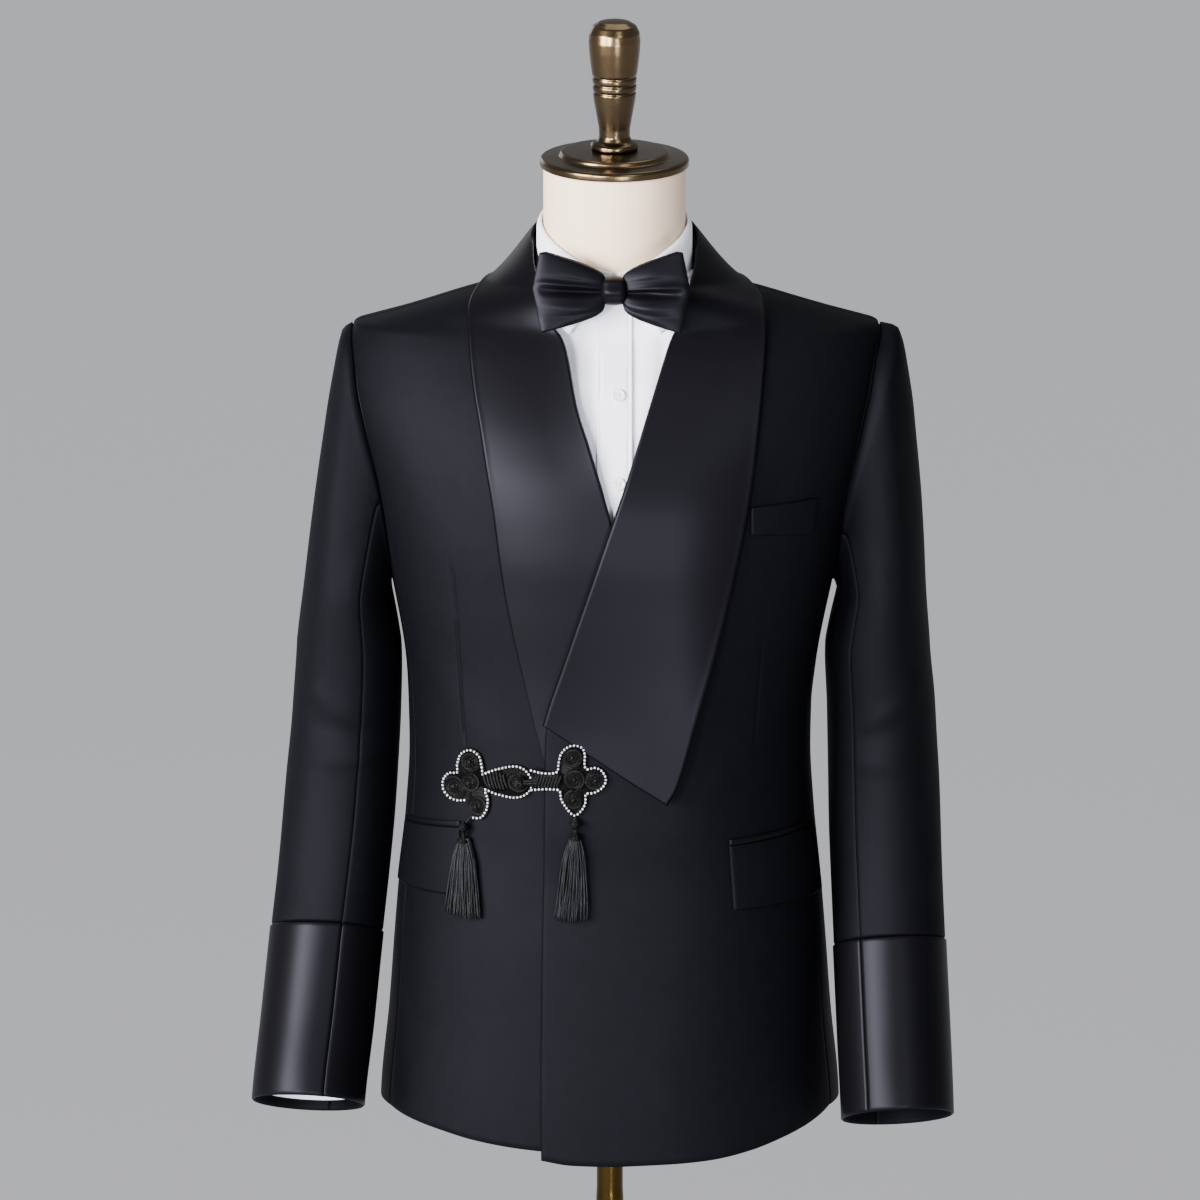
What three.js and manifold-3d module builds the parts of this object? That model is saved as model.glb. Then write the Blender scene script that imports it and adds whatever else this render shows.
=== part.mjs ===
// A tuxedo on a limbless dress form: wrap-front dinner jacket with satin shawl lapels and cuffs,
// a frog fastening with two tassels, a white dress shirt and a black bow tie.
// Millimetres, +Z up, the wearer faces -Y, and the wearer's left is +X. The floor is z = 0.
// Cloth is a thin wall: each panel is a patch of one body or sleeve surface, moved out or in.
import * as THREE from "three";
import Module from "manifold-3d";
import { mergeVertices } from "three/addons/utils/BufferGeometryUtils.js";

// Driving sizes
const chestLine = 1120; // the chest line above the floor; heights in the tables count from it
const clothWall = 2; // jacket cloth with its canvas
const satinWall = 2.2; // faced lapel
const shirtWall = 1.2;
const seamGap = 0.24; // each panel edge is drawn back this far
const rest = 0.4; // a small piece lies this far over the layer below it
const shawlRest = 1; // and the shawl, which bridges the curve below, this far
const neck = { x: 3.5, y: -8, radius: 58.5, top: 361 };
const formBottom = -300;
const baseRadius = 165;
const poleRadius = 11;
const tau = 2 * Math.PI;
const degree = Math.PI / 180;

// The jacket's level sections: height, half width, depth in front and behind the middle,
// fullness of the oval (2 is an ellipse) and sideways shift
const bodySections = [
  { height: -460, halfWidth: 192, front: 141, back: 137, fullness: 2.25, shift: 0 },
  { height: -409, halfWidth: 190, front: 140, back: 138, fullness: 2.25, shift: 0 },
  { height: -340, halfWidth: 183, front: 137, back: 136, fullness: 2.25, shift: 0 },
  { height: -275, halfWidth: 178, front: 134, back: 131, fullness: 2.25, shift: 0 },
  { height: -228, halfWidth: 174, front: 131, back: 126, fullness: 2.25, shift: 0 },
  { height: -169, halfWidth: 168, front: 128, back: 118, fullness: 2.25, shift: 0 },
  { height: -118, halfWidth: 165, front: 127, back: 113, fullness: 2.25, shift: 0 },
  { height: -84, halfWidth: 165.5, front: 127, back: 112, fullness: 2.28, shift: 0 },
  { height: -50, halfWidth: 168, front: 128, back: 113, fullness: 2.3, shift: 1 },
  { height: 20, halfWidth: 180, front: 132, back: 120, fullness: 2.4, shift: 2 },
  { height: 59, halfWidth: 188.5, front: 134, back: 125, fullness: 2.4, shift: 2.5 },
  { height: 89, halfWidth: 195.5, front: 133, back: 127, fullness: 2.4, shift: 2.5 },
  { height: 118, halfWidth: 203, front: 130, back: 127, fullness: 2.4, shift: 2.5 },
  { height: 154, halfWidth: 213, front: 121, back: 120, fullness: 2.4, shift: 2.5 },
  { height: 190, halfWidth: 219, front: 106, back: 106, fullness: 2.4, shift: 3 },
  { height: 215, halfWidth: 218, front: 92, back: 93, fullness: 2.4, shift: 4 },
  { height: 232, halfWidth: 213, front: 81, back: 82, fullness: 2.35, shift: 5 },
  { height: 236, halfWidth: 200, front: 79, back: 79, fullness: 2.3, shift: 5 },
  { height: 241, halfWidth: 181, front: 78, back: 76, fullness: 2.3, shift: 5 },
  { height: 249.5, halfWidth: 152, front: 77, back: 72, fullness: 2.3, shift: 4.5 },
  { height: 257.5, halfWidth: 126, front: 76, back: 68, fullness: 2.25, shift: 4 },
  { height: 263, halfWidth: 105, front: 75.5, back: 66, fullness: 2.2, shift: 4 },
  { height: 270, halfWidth: 76, front: 75, back: 63, fullness: 2.2, shift: 4 },
  { height: 280, halfWidth: 68, front: 74, back: 61, fullness: 2.1, shift: 4 },
  { height: 300, halfWidth: 64, front: 72, back: 60, fullness: 2, shift: 4 },
];

// The armhole seen from the side is an egg on the body's surface, walked from its top round the front
const armhole = { height: 125, halfHeight: 107, front: 55, back: 50, frontSeam: 140 * degree, backSeam: 220 * degree };
const shoulderTip = 232;
const neckPoint = 270;
const nape = 284;

// The two seams of each side panel: depth at a few heights
const sideSeams = [
  { height: -460, front: -52, back: 60 },
  { height: -118, front: -41, back: 44 },
  { height: 43, front: -35.4, back: 32.1 },
];

// Sleeve sections: height, distance of the middle from the body's middle for each arm, depth,
// half width, half depth, forward pitch and outward slant in degrees
const sleeveSections = [
  { height: -415, right: 248, left: 236, depth: -90, halfWidth: 45.6, halfDepth: 50, pitch: 23, slant: 3 },
  { height: -403, right: 247.4, left: 235.8, depth: -86, halfWidth: 45.6, halfDepth: 50, pitch: 23, slant: 3 },
  { height: -340, right: 240.4, left: 233.4, depth: -58, halfWidth: 46, halfDepth: 50.5, pitch: 22, slant: 3 },
  { height: -270, right: 233, left: 230.4, depth: -30, halfWidth: 46, halfDepth: 52, pitch: 20, slant: 3 },
  { height: -228, right: 228.2, left: 228.6, depth: -15, halfWidth: 46, halfDepth: 53.5, pitch: 15, slant: 3 },
  { height: -185, right: 223.8, left: 226.7, depth: -4, halfWidth: 46, halfDepth: 55, pitch: 10, slant: 3 },
  { height: -135, right: 219.6, left: 225, depth: 3, halfWidth: 45.4, halfDepth: 57, pitch: 6, slant: 3 },
  { height: -85, right: 216.2, left: 223, depth: 6, halfWidth: 44.6, halfDepth: 59, pitch: 2, slant: 2 },
  { height: -35, right: 214.2, left: 219.8, depth: 5, halfWidth: 43, halfDepth: 61, pitch: 0, slant: 1 },
  { height: 10, right: 215, left: 222.5, depth: 2, halfWidth: 36.5, halfDepth: 63, pitch: 0, slant: 0 },
];
const sleeveHead = [
  { along: 0, bulge: 0 },
  { along: 0.035, bulge: 0.85 },
  { along: 0.12, bulge: 1 },
  { along: 0.26, bulge: 0.98 },
  { along: 0.44, bulge: 0.82 },
  { along: 0.64, bulge: 0.6 },
  { along: 0.84, bulge: 0.3 },
  { along: 1, bulge: 0 },
];
const headBulge = { left: 16.5, right: 8.5 };
const sleeveDrop = { left: -12, right: 0 };
const frontSleeveSeam = { left: 124 * degree, right: 108 * degree };
const backSleeveSeam = 250 * degree;
const cuffTop = -270;
const cuffBottom = -403;

// Fronts: the centre edge from the hem up, along the roll line to the neck, and the hem, as [x, height]
// with x counted towards the panel's own side
const frontEdges = {
  left: [[-55.5, -437], [-55.8, -390], [-55.7, -343], [-55, -294], [-54.3, -245], [-53, -194], [-52, -144], [-51.5, -110],
    [-50, -76], [-41, -47], [-25, 4], [-6, 60], [12, 111], [22, 142], [37, 188], [52, 231], [60, 246], [68, 259]],
  right: [[-52, -431], [-52, -390], [-52, -343], [-52, -294], [-52, -245], [-52, -194], [-52, -144], [-51, -110],
    [-49, -76], [-38, -47], [-26, 4], [-9, 56], [7, 111], [16, 142], [32, 188], [39, 228], [50, 246], [58, 259]],
};
const frontHems = {
  left: [[-55.5, -437], [-31, -440.4], [0, -441], [27, -440.3], [55, -439.6], [82, -438.4], [116, -434], [142, -428]],
  right: [[-52, -431], [-26, -431.5], [0, -431.5], [31, -431], [57, -430], [80, -428.5], [114, -425], [140, -421]],
};
const sideHem = -415;
const backHem = -413;

// Shawl stations from the lower end to the middle of the back: roll point and outer point as [x, height]
// on the front, and as [x, depth, height] round the neck
const shawlStations = {
  left: [
    [[-52.5, -75], [43.4, -139.5]], [[-48, -58], [52, -122]], [[-37, -24], [66, -72]], [[-25, 13], [79, -28]],
    [[-13, 49], [91, 16]], [[0, 87], [101.5, 60]], [[12, 121], [110.5, 105]], [[23.5, 156], [117.5, 152]],
    [[34.5, 190], [122.5, 198]], [[47, 226], [125, 232]], [[57, -76, 249], [124, -58, 246]],
    [[63.5, -58, 271], [119, -32, 258]], [[68, -34, 287], [112, 0, 264]], [[67.5, -4, 301], [103, 26, 262]],
    [[58, 29, 313], [80, 52, 264]], [[36, 51, 319], [45, 66, 270]], [[3.5, 58, 321], [3.5, 70, 273]],
  ],
  right: [
    [[38, -104], [51, -115]], [[32, -76], [60, -79]], [[22, -45], [67.5, -47]], [[8, 2], [76.5, -8]],
    [[-5, 40], [84, 30]], [[-9, 66], [89.5, 68]], [[-0.5, 93], [94, 103]], [[7, 120], [99, 132]],
    [[16, 149], [104, 163]], [[26.5, 181], [109.5, 193]], [[36, 225], [113, 225]], [[50, -76, 249], [113, -56, 246]],
    [[56.5, -58, 271], [109, -32, 258]], [[61, -34, 287], [103, 0, 264]], [[60.5, -4, 301], [95, 26, 262]],
    [[51, 29, 313], [73, 52, 264]], [[29, 51, 319], [38, 66, 270]], [[-3.5, 58, 321], [-3.5, 70, 273]],
  ],
};

// Shirt collar round the neck: angle from the back, height of the fold, and angle, height and distance
// from the neck's middle of the leaf's lower edge
const collarStations = [
  { turn: 0, fold: 330, edgeTurn: 0, edge: 292, reach: 62 },
  { turn: 50, fold: 326, edgeTurn: 48, edge: 287, reach: 62 },
  { turn: 95, fold: 314, edgeTurn: 86, edge: 281, reach: 62.2 },
  { turn: 130, fold: 300, edgeTurn: 114, edge: 268, reach: 64 },
  { turn: 155, fold: 289, edgeTurn: 136, edge: 246, reach: 74 },
  { turn: 176, fold: 281.5, edgeTurn: 152, edge: 234, reach: 78 },
];

// Dress form: height, half width, half depth, fullness, and the middle of each level
const formSections = [
  { height: -300, halfWidth: 150, halfDepth: 108, fullness: 2.2, x: 0, y: 1 },
  { height: -285, halfWidth: 160, halfDepth: 116, fullness: 2.2, x: 0, y: 1 },
  { height: -228, halfWidth: 160, halfDepth: 114, fullness: 2.2, x: 0, y: 0 },
  { height: -169, halfWidth: 153, halfDepth: 108, fullness: 2.2, x: 0, y: -4 },
  { height: -100, halfWidth: 149, halfDepth: 104, fullness: 2.2, x: 0, y: -7 },
  { height: -50, halfWidth: 152, halfDepth: 105, fullness: 2.2, x: 0, y: -7 },
  { height: 20, halfWidth: 163, halfDepth: 110, fullness: 2.3, x: 1, y: -6 },
  { height: 89, halfWidth: 178, halfDepth: 114, fullness: 2.3, x: 2, y: -3 },
  { height: 130, halfWidth: 186, halfDepth: 109, fullness: 2.3, x: 2.5, y: -1 },
  { height: 165, halfWidth: 190, halfDepth: 98, fullness: 2.3, x: 3, y: 0 },
  { height: 190, halfWidth: 188, halfDepth: 88, fullness: 2.3, x: 3.5, y: 0 },
  { height: 208, halfWidth: 177, halfDepth: 78, fullness: 2.3, x: 4, y: 0 },
  { height: 220, halfWidth: 155, halfDepth: 70, fullness: 2.3, x: 4, y: -1 },
  { height: 230, halfWidth: 128, halfDepth: 65, fullness: 2.2, x: 4, y: -2 },
  { height: 240, halfWidth: 100, halfDepth: 61, fullness: 2.1, x: 4, y: -4 },
  { height: 250, halfWidth: 76, halfDepth: 59, fullness: 2, x: 3.7, y: -6 },
  { height: 262, halfWidth: 59.5, halfDepth: 57.8, fullness: 2, x: 3.5, y: -8 },
  { height: 275, halfWidth: 57.6, halfDepth: 57.6, fullness: 2, x: 3.5, y: -8 },
  { height: 300, halfWidth: 57.6, halfDepth: 57.6, fullness: 2, x: 3.5, y: -8 },
  { height: 361, halfWidth: 57.6, halfDepth: 57.6, fullness: 2, x: 3.5, y: -8 },
];

// Interpolation of a table's column that never overshoots its rows (monotone cubic)
function column(rows, name) {
  const heights = rows.map((row) => row.height);
  const values = rows.map((row) => row[name]);
  const steps = heights.slice(1).map((h, i) => h - heights[i]);
  const rises = steps.map((step, i) => (values[i + 1] - values[i]) / step);
  const slopes = values.map((value, i) => {
    if (i === 0) return rises[0];
    if (i === values.length - 1) return rises[i - 1];
    if (rises[i - 1] * rises[i] <= 0) return 0;
    const before = 2 * steps[i] + steps[i - 1];
    const after = steps[i] + 2 * steps[i - 1];
    return (before + after) / (before / rises[i - 1] + after / rises[i]);
  });
  return (height) => {
    const h = Math.min(Math.max(height, heights[0]), heights.at(-1));
    let i = 0;
    while (i < steps.length - 1 && h > heights[i + 1]) i += 1;
    const t = (h - heights[i]) / steps[i];
    const start = (2 * t ** 3 - 3 * t ** 2 + 1) * values[i] + (t ** 3 - 2 * t ** 2 + t) * steps[i] * slopes[i];
    const end = (3 * t ** 2 - 2 * t ** 3) * values[i + 1] + (t ** 3 - t ** 2) * steps[i] * slopes[i + 1];
    return start + end;
  };
}
const columns = (rows, names) => Object.fromEntries(names.map((name) => [name, column(rows, name)]));

// A smooth curve through points given as arrays of numbers, read from 0 to 1 by their count
function through(points) {
  const last = points.length - 1;
  return (t) => {
    const at = Math.min(Math.max(t, 0), 1) * last;
    const i = Math.min(Math.floor(at), last - 1);
    const f = at - i;
    const [p, q] = [points[i], points[i + 1]];
    const before = points[i - 1] ?? p.map((value, k) => 2 * value - q[k]);
    const after = points[i + 2] ?? q.map((value, k) => 2 * value - p[k]);
    return p.map((value, k) => {
      const slope = [(q[k] - before[k]) / 2, (after[k] - value) / 2];
      const start = (2 * f ** 3 - 3 * f ** 2 + 1) * value + (f ** 3 - 2 * f ** 2 + f) * slope[0];
      return start + (3 * f ** 2 - 2 * f ** 3) * q[k] + (f ** 3 - f ** 2) * slope[1];
    });
  };
}

function smooth(low, high, value) {
  const t = Math.min(Math.max((value - low) / (high - low), 0), 1);
  return t * t * (3 - 2 * t);
}
const mix = (a, b, t) => a + (b - a) * t;
const between = (low, high, count) => Array.from({ length: count + 1 }, (_, i) => mix(low, high, i / count));
const evenly = (count) => between(0, 1, count);
const power = (value, exponent) => Math.sign(value) * Math.abs(value) ** exponent;
const sides = ["left", "right"];
const sign = { left: 1, right: -1 };
const point = (x, y, height) => new THREE.Vector3(x, y, chestLine + height);

// The body surface of one side: angle u runs from the front middle (-90 degrees) over the side (0)
// to the back middle (90); beyond -90 it passes the middle to the other side
const body = columns(bodySections, ["halfWidth", "front", "back", "fullness", "shift"]);

function onBody(side, u, height) {
  const exponent = 2 / body.fullness(height);
  const depth = Math.sin(u) < 0 ? body.front(height) : body.back(height);
  const x = body.shift(height) + sign[side] * body.halfWidth(height) * power(Math.cos(u), exponent);
  return point(x, depth * power(Math.sin(u), exponent), height);
}

function bodyNormal(side, u, height) {
  const around = onBody(side, u + 0.012, height).sub(onBody(side, u - 0.012, height));
  const upwards = onBody(side, u, height + 1.2).sub(onBody(side, u, height - 1.2));
  return around.cross(upwards).multiplyScalar(sign[side]).normalize();
}

const bodyPoint = (side, u, height, out) => onBody(side, u, height).addScaledVector(bodyNormal(side, u, height), out);

// Angle of the front point at a distance x towards its own side, and of the side point at depth y
function angleInFront(side, x, height) {
  const off = x - sign[side] * body.shift(height);
  const share = Math.min(Math.abs(off) / body.halfWidth(height), 1);
  return -Math.acos(Math.sign(off) * share ** (body.fullness(height) / 2));
}

function angleAtSide(y, height) {
  const depth = y < 0 ? body.front(height) : body.back(height);
  return Math.asin(power(y / depth, body.fullness(height) / 2));
}

function onArmhole(turn, less = 0, topLess = less) {
  const high = armhole.height + armhole.halfHeight - topLess;
  const low = armhole.height - armhole.halfHeight + less;
  const height = (high + low) / 2 + ((high - low) / 2) * Math.cos(turn);
  const depth = Math.sin(turn) > 0 ? armhole.front : armhole.back;
  return [angleAtSide(-(depth - less) * Math.sin(turn), height), height];
}

// Distance of a point from the body surface along the surface's own slope, and that slope
function offBody(p) {
  const field = (x, y, z) => {
    const height = z - chestLine;
    const fullness = body.fullness(height);
    const depth = y < 0 ? body.front(height) : body.back(height);
    const across = Math.abs(x - body.shift(height)) / body.halfWidth(height);
    return (across ** fullness + Math.abs(y / depth) ** fullness) ** (1 / fullness);
  };
  const slope = new THREE.Vector3(
    field(p.x + 0.5, p.y, p.z) - field(p.x - 0.5, p.y, p.z),
    field(p.x, p.y + 0.5, p.z) - field(p.x, p.y - 0.5, p.z),
    field(p.x, p.y, p.z + 0.5) - field(p.x, p.y, p.z - 0.5),
  );
  return { distance: (field(p.x, p.y, p.z) - 1) / slope.length(), away: slope.clone().normalize() };
}

// Moves a point out until it lies at least the given distance off the body
function pushedOut(p, clear) {
  const moved = p.clone();
  for (let i = 0; i < 6; i += 1) {
    const { distance, away } = offBody(moved);
    if (distance >= clear) break;
    moved.addScaledVector(away, clear - distance);
  }
  return moved;
}

// A patch between four edges, each a function from 0 to 1 that gives [angle, height] (a Coons patch)
function patch({ bottom, top, left, right }, across, up) {
  const corners = [left(0), right(0), left(1), right(1)];
  return up.map((v) => {
    const [start, end] = [left(v), right(v)];
    return across.map((s) => {
      const [low, high] = [bottom(s), top(s)];
      return [0, 1].map((k) => {
        const lowMix = (1 - s) * corners[0][k] + s * corners[1][k];
        const highMix = (1 - s) * corners[2][k] + s * corners[3][k];
        return (1 - v) * low[k] + v * high[k] + (1 - s) * start[k] + s * end[k] - (1 - v) * lowMix - v * highMix;
      });
    });
  });
}

// An edge through [angle, height] points, read by its real length on the body
function edge(side, points) {
  const places = points.map(([u, h]) => onBody(side, u, h));
  const lengths = [0];
  places.slice(1).forEach((p, i) => lengths.push(lengths[i] + p.distanceTo(places[i])));
  return (t) => {
    const at = t * lengths.at(-1);
    let i = 0;
    while (i < points.length - 2 && at > lengths[i + 1]) i += 1;
    const f = Math.min(Math.max((at - lengths[i]) / (lengths[i + 1] - lengths[i]), 0), 1);
    return [0, 1].map((k) => mix(points[i][k], points[i + 1][k], f));
  };
}

// Unit normals of a grid of points, from its neighbours
function gridNormals(grid, closed = false) {
  const last = grid.length - 1;
  return grid.map((row, i) =>
    row.map((_, j) => {
      const width = row.length;
      const ahead = closed ? row[(j + 1) % width] : row[Math.min(j + 1, width - 1)];
      const behind = closed ? row[(j - 1 + width) % width] : row[Math.max(j - 1, 0)];
      const upwards = grid[Math.min(i + 1, last)][j].clone().sub(grid[Math.max(i - 1, 0)][j]);
      return ahead.clone().sub(behind).cross(upwards).normalize();
    }),
  );
}

// A grid moved along its normals; facing is a direction the first normal should look along
function moved(grid, facing, distance, closed = false) {
  const normals = gridNormals(grid, closed);
  const [i, j] = [Math.floor(grid.length / 2), Math.floor(grid[0].length / 2)];
  const way = Math.sign(normals[i][j].dot(facing(grid[i][j])));
  return grid.map((row, r) =>
    row.map((p, c) => {
      const step = typeof distance === "number" ? distance : distance(r, c, p);
      return p.clone().addScaledVector(normals[r][c], way * step);
    }),
  );
}
const fromAxis = (p) => new THREE.Vector3(p.x - neck.x, p.y - neck.y, 0);

// Moves the edges of a grid inwards by the seam gap
function drawnBack(grid, gap = seamGap, ends = true) {
  const towards = (p, other) => p.clone().addScaledVector(other.clone().sub(p).normalize(), gap);
  const last = grid.length - 1;
  const narrowed = grid.map((row) =>
    row.map((p, j) => {
      if (j > 0 && j < row.length - 1) return p.clone();
      return towards(p, row[j === 0 ? 1 : row.length - 2]);
    }),
  );
  if (!ends) return narrowed;
  return narrowed.map((row, i) =>
    i > 0 && i < last ? row : row.map((p, j) => towards(p, narrowed[i === 0 ? 1 : last - 1][j])),
  );
}

// A closed wall between an outer and an inner grid of the same size
function wall(outer, inner, closed = false) {
  const [rows, width] = [outer.length, outer[0].length];
  const points = [...outer.flat(), ...inner.flat()];
  const out = (i, j) => i * width + (j % width);
  const into = (i, j) => rows * width + out(i, j);
  const faces = [];
  const quad = (a, b, c, d) => faces.push(a, b, c, a, c, d);
  const spans = closed ? width : width - 1;
  for (let i = 0; i < rows - 1; i += 1) {
    for (let j = 0; j < spans; j += 1) {
      quad(out(i, j), out(i, j + 1), out(i + 1, j + 1), out(i + 1, j));
      quad(into(i, j), into(i + 1, j), into(i + 1, j + 1), into(i, j + 1));
    }
  }
  for (let j = 0; j < spans; j += 1) {
    quad(out(0, j), into(0, j), into(0, j + 1), out(0, j + 1));
    quad(out(rows - 1, j), out(rows - 1, j + 1), into(rows - 1, j + 1), into(rows - 1, j));
  }
  for (let i = 0; !closed && i < rows - 1; i += 1) {
    quad(out(i, 0), out(i + 1, 0), into(i + 1, 0), into(i, 0));
    quad(out(i, width - 1), into(i, width - 1), into(i + 1, width - 1), out(i + 1, width - 1));
  }
  return solid(points, faces);
}

// A closed body through rings of points, capped at both ends
function loft(rings) {
  const width = rings[0].length;
  const points = rings.flat();
  const faces = [];
  for (let i = 0; i < rings.length - 1; i += 1) {
    for (let j = 0; j < width; j += 1) {
      const [a, b] = [i * width + j, i * width + ((j + 1) % width)];
      faces.push(a, b, b + width, a, b + width, a + width);
    }
  }
  [rings[0], rings.at(-1)].forEach((ring, end) => {
    const middle = ring.reduce((sum, p) => sum.add(p), new THREE.Vector3()).divideScalar(width);
    const centre = points.push(middle) - 1;
    const start = end ? (rings.length - 1) * width : 0;
    for (let j = 0; j < width; j += 1) {
      const [a, b] = [start + j, start + ((j + 1) % width)];
      faces.push(centre, end ? a : b, end ? b : a);
    }
  });
  return solid(points, faces);
}

// A cord of round section along points, lying on normals; a closed one returns to its start
function cord(points, normals, radius, closed = false, around = 4) {
  const count = points.length;
  const rings = points.map((p, i) => {
    const ahead = points[closed ? (i + 1) % count : Math.min(i + 1, count - 1)];
    const behind = points[closed ? (i - 1 + count) % count : Math.max(i - 1, 0)];
    const across = ahead.clone().sub(behind).cross(normals[i]).normalize();
    const size = typeof radius === "number" ? radius : radius[i];
    return between(0, tau, around).slice(1).map((a) =>
      p.clone().addScaledVector(across, size * Math.cos(a)).addScaledVector(normals[i], size * Math.sin(a)),
    );
  });
  if (!closed) return loft(rings);
  const faces = [];
  for (let i = 0; i < count; i += 1) {
    for (let j = 0; j < around; j += 1) {
      const [a, b] = [i * around + j, i * around + ((j + 1) % around)];
      const next = ((i + 1) % count) * around;
      faces.push(a, b, next + ((j + 1) % around), a, next + ((j + 1) % around), next + j);
    }
  }
  return solid(rings.flat(), faces);
}

// A turned body: rings of [radius, rise] about an axis through a foot, leaning forward by an angle
function turnedBody(profile, foot, lean = 0, around = 40) {
  const rings = profile.map(([radius, rise]) =>
    between(0, tau, around).slice(1).map((a) => {
      const p = new THREE.Vector3(radius * Math.cos(a), radius * Math.sin(a), rise);
      return p.applyAxisAngle(new THREE.Vector3(1, 0, 0), lean).add(foot);
    }),
  );
  return loft(rings);
}

// Geometry from points and faces, turned so that its faces look outwards
function solid(points, faces) {
  let volume = 0;
  const cross = new THREE.Vector3();
  for (let i = 0; i < faces.length; i += 3) {
    volume += points[faces[i]].dot(cross.crossVectors(points[faces[i + 1]], points[faces[i + 2]]));
  }
  const geometry = new THREE.BufferGeometry();
  geometry.setAttribute("position", new THREE.Float32BufferAttribute(points.flatMap((p) => [p.x, p.y, p.z]), 3));
  geometry.setIndex(volume > 0 ? faces : faces.toReversed());
  return geometry;
}

// Joins closed geometries into one
const wasm = await Module();
wasm.setup();
function joined(geometries) {
  const solids = geometries.map((geometry) => {
    const merged = mergeVertices(geometry, 1e-4);
    return new wasm.Manifold(
      new wasm.Mesh({
        numProp: 3,
        vertProperties: new Float32Array(merged.attributes.position.array),
        triVerts: new Uint32Array(merged.index.array),
      }),
    );
  });
  const mesh = solids.reduce((sum, part) => sum.add(part)).getMesh();
  const geometry = new THREE.BufferGeometry();
  geometry.setAttribute("position", new THREE.Float32BufferAttribute(mesh.vertProperties, 3));
  geometry.setIndex(Array.from(mesh.triVerts));
  return geometry;
}

// Finishes
const finish = (color, roughness, metalness = 0) => new THREE.MeshStandardMaterial({ color, roughness, metalness });
const wool = finish(0x1a1c25, 0.85);
const satin = finish(0x24242d, 0.38);
const cotton = finish(0xf2f3fa, 0.8);
const pearl = finish(0xf4f2ec, 0.2);
const braid = finish(0x0c0c0f, 0.6);
const linen = finish(0xe6dacd, 0.8);
const brass = finish(0x84704c, 0.32, 0.9);

const tuxedo = new THREE.Group();
function add(name, geometry, material) {
  const mesh = new THREE.Mesh(geometry, material);
  mesh.name = name;
  tuxedo.add(mesh);
}

// A cloth panel: a patch of the body surface moved out by a number or a function of the place
function panel(side, edges, across, up, out, thickness) {
  const places = patch(edges, across, up);
  const height = (u, h) => (typeof out === "number" ? out : out(onBody(side, u, h).x, h));
  const layer = (less) => places.map((row) => row.map(([u, h]) => bodyPoint(side, u, h, height(u, h) - less)));
  return wall(drawnBack(layer(0)), drawnBack(layer(thickness)));
}

// A panel with straight edges between four [angle, height] corners, from the lower front one anticlockwise
function straightPanel(side, corners, across, up, out, thickness) {
  const line = (a, b) => (t) => [0, 1].map((k) => mix(corners[a][k], corners[b][k], t));
  const edges = { bottom: line(0, 1), right: line(1, 2), top: line(3, 2), left: line(0, 3) };
  return panel(side, edges, evenly(across), evenly(up), out, thickness);
}

const seamDepth = columns(sideSeams, ["front", "back"]);

// The edge up a side seam and round the armhole to the shoulder tip
function seamAndArmhole(name, hem, startTurn, endTurn) {
  const seamTop = onArmhole(startTurn)[1];
  const seam = between(hem, seamTop, 12).map((h) => [angleAtSide(seamDepth[name](h), h), h]);
  const hole = between(startTurn, endTurn, 16).slice(1).map((turn) => onArmhole(turn));
  return [...seam, ...hole];
}

// How far the left front stands out where it covers the right front and the right lapel
function lap(x, height) {
  const stack = mix(3.4, 6.6, smooth(-215, -160, height));
  return stack * (1 - smooth(50, 140, x)) * (1 - smooth(95, 180, height));
}
const lapOf = { left: lap, right: () => 0 };

// Jacket panels
for (const side of sides) {
  const inFront = ([x, h]) => [angleInFront(side, x, h), h];
  const frontSide = seamAndArmhole("front", sideHem, armhole.frontSeam, 0);
  const backSide = seamAndArmhole("back", sideHem, armhole.backSeam, tau);
  const front = {
    left: edge(side, [...frontEdges[side].map(inFront), [0, neckPoint]]),
    bottom: edge(side, [...frontHems[side].map(inFront), frontSide[0]]),
    right: edge(side, frontSide),
    top: (s) => [0, mix(neckPoint, shoulderTip, s)],
  };
  add("front_" + side, panel(side, front, evenly(8), evenly(15), lapOf[side], clothWall), wool);

  const underArm = {
    left: edge(side, frontSide.slice(0, 13)),
    right: edge(side, backSide.slice(0, 13)),
    bottom: edge(side, [frontSide[0], [0, sideHem - 2], backSide[0]]),
    top: edge(side, between(armhole.frontSeam, armhole.backSeam, 8).map((turn) => onArmhole(turn))),
  };
  add("side_" + side, panel(side, underArm, evenly(3), evenly(10), 0, clothWall), wool);

  const neckline = between(0, 1, 6).map((t) => [(1 - t) * 90 * degree, mix(nape, neckPoint, t)]);
  const shoulder = between(neckPoint, shoulderTip, 6).slice(1).map((h) => [0, h]);
  const back = {
    left: edge(side, between(backHem, nape, 12).map((h) => [90 * degree, h])),
    bottom: edge(side, [[90 * degree, backHem], [70 * degree, backHem], [45 * degree, sideHem], backSide[0]]),
    right: edge(side, backSide),
    top: edge(side, [...neckline, ...shoulder]),
  };
  add("back_" + side, panel(side, back, evenly(7), evenly(14), 0, clothWall), wool);
}

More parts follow.
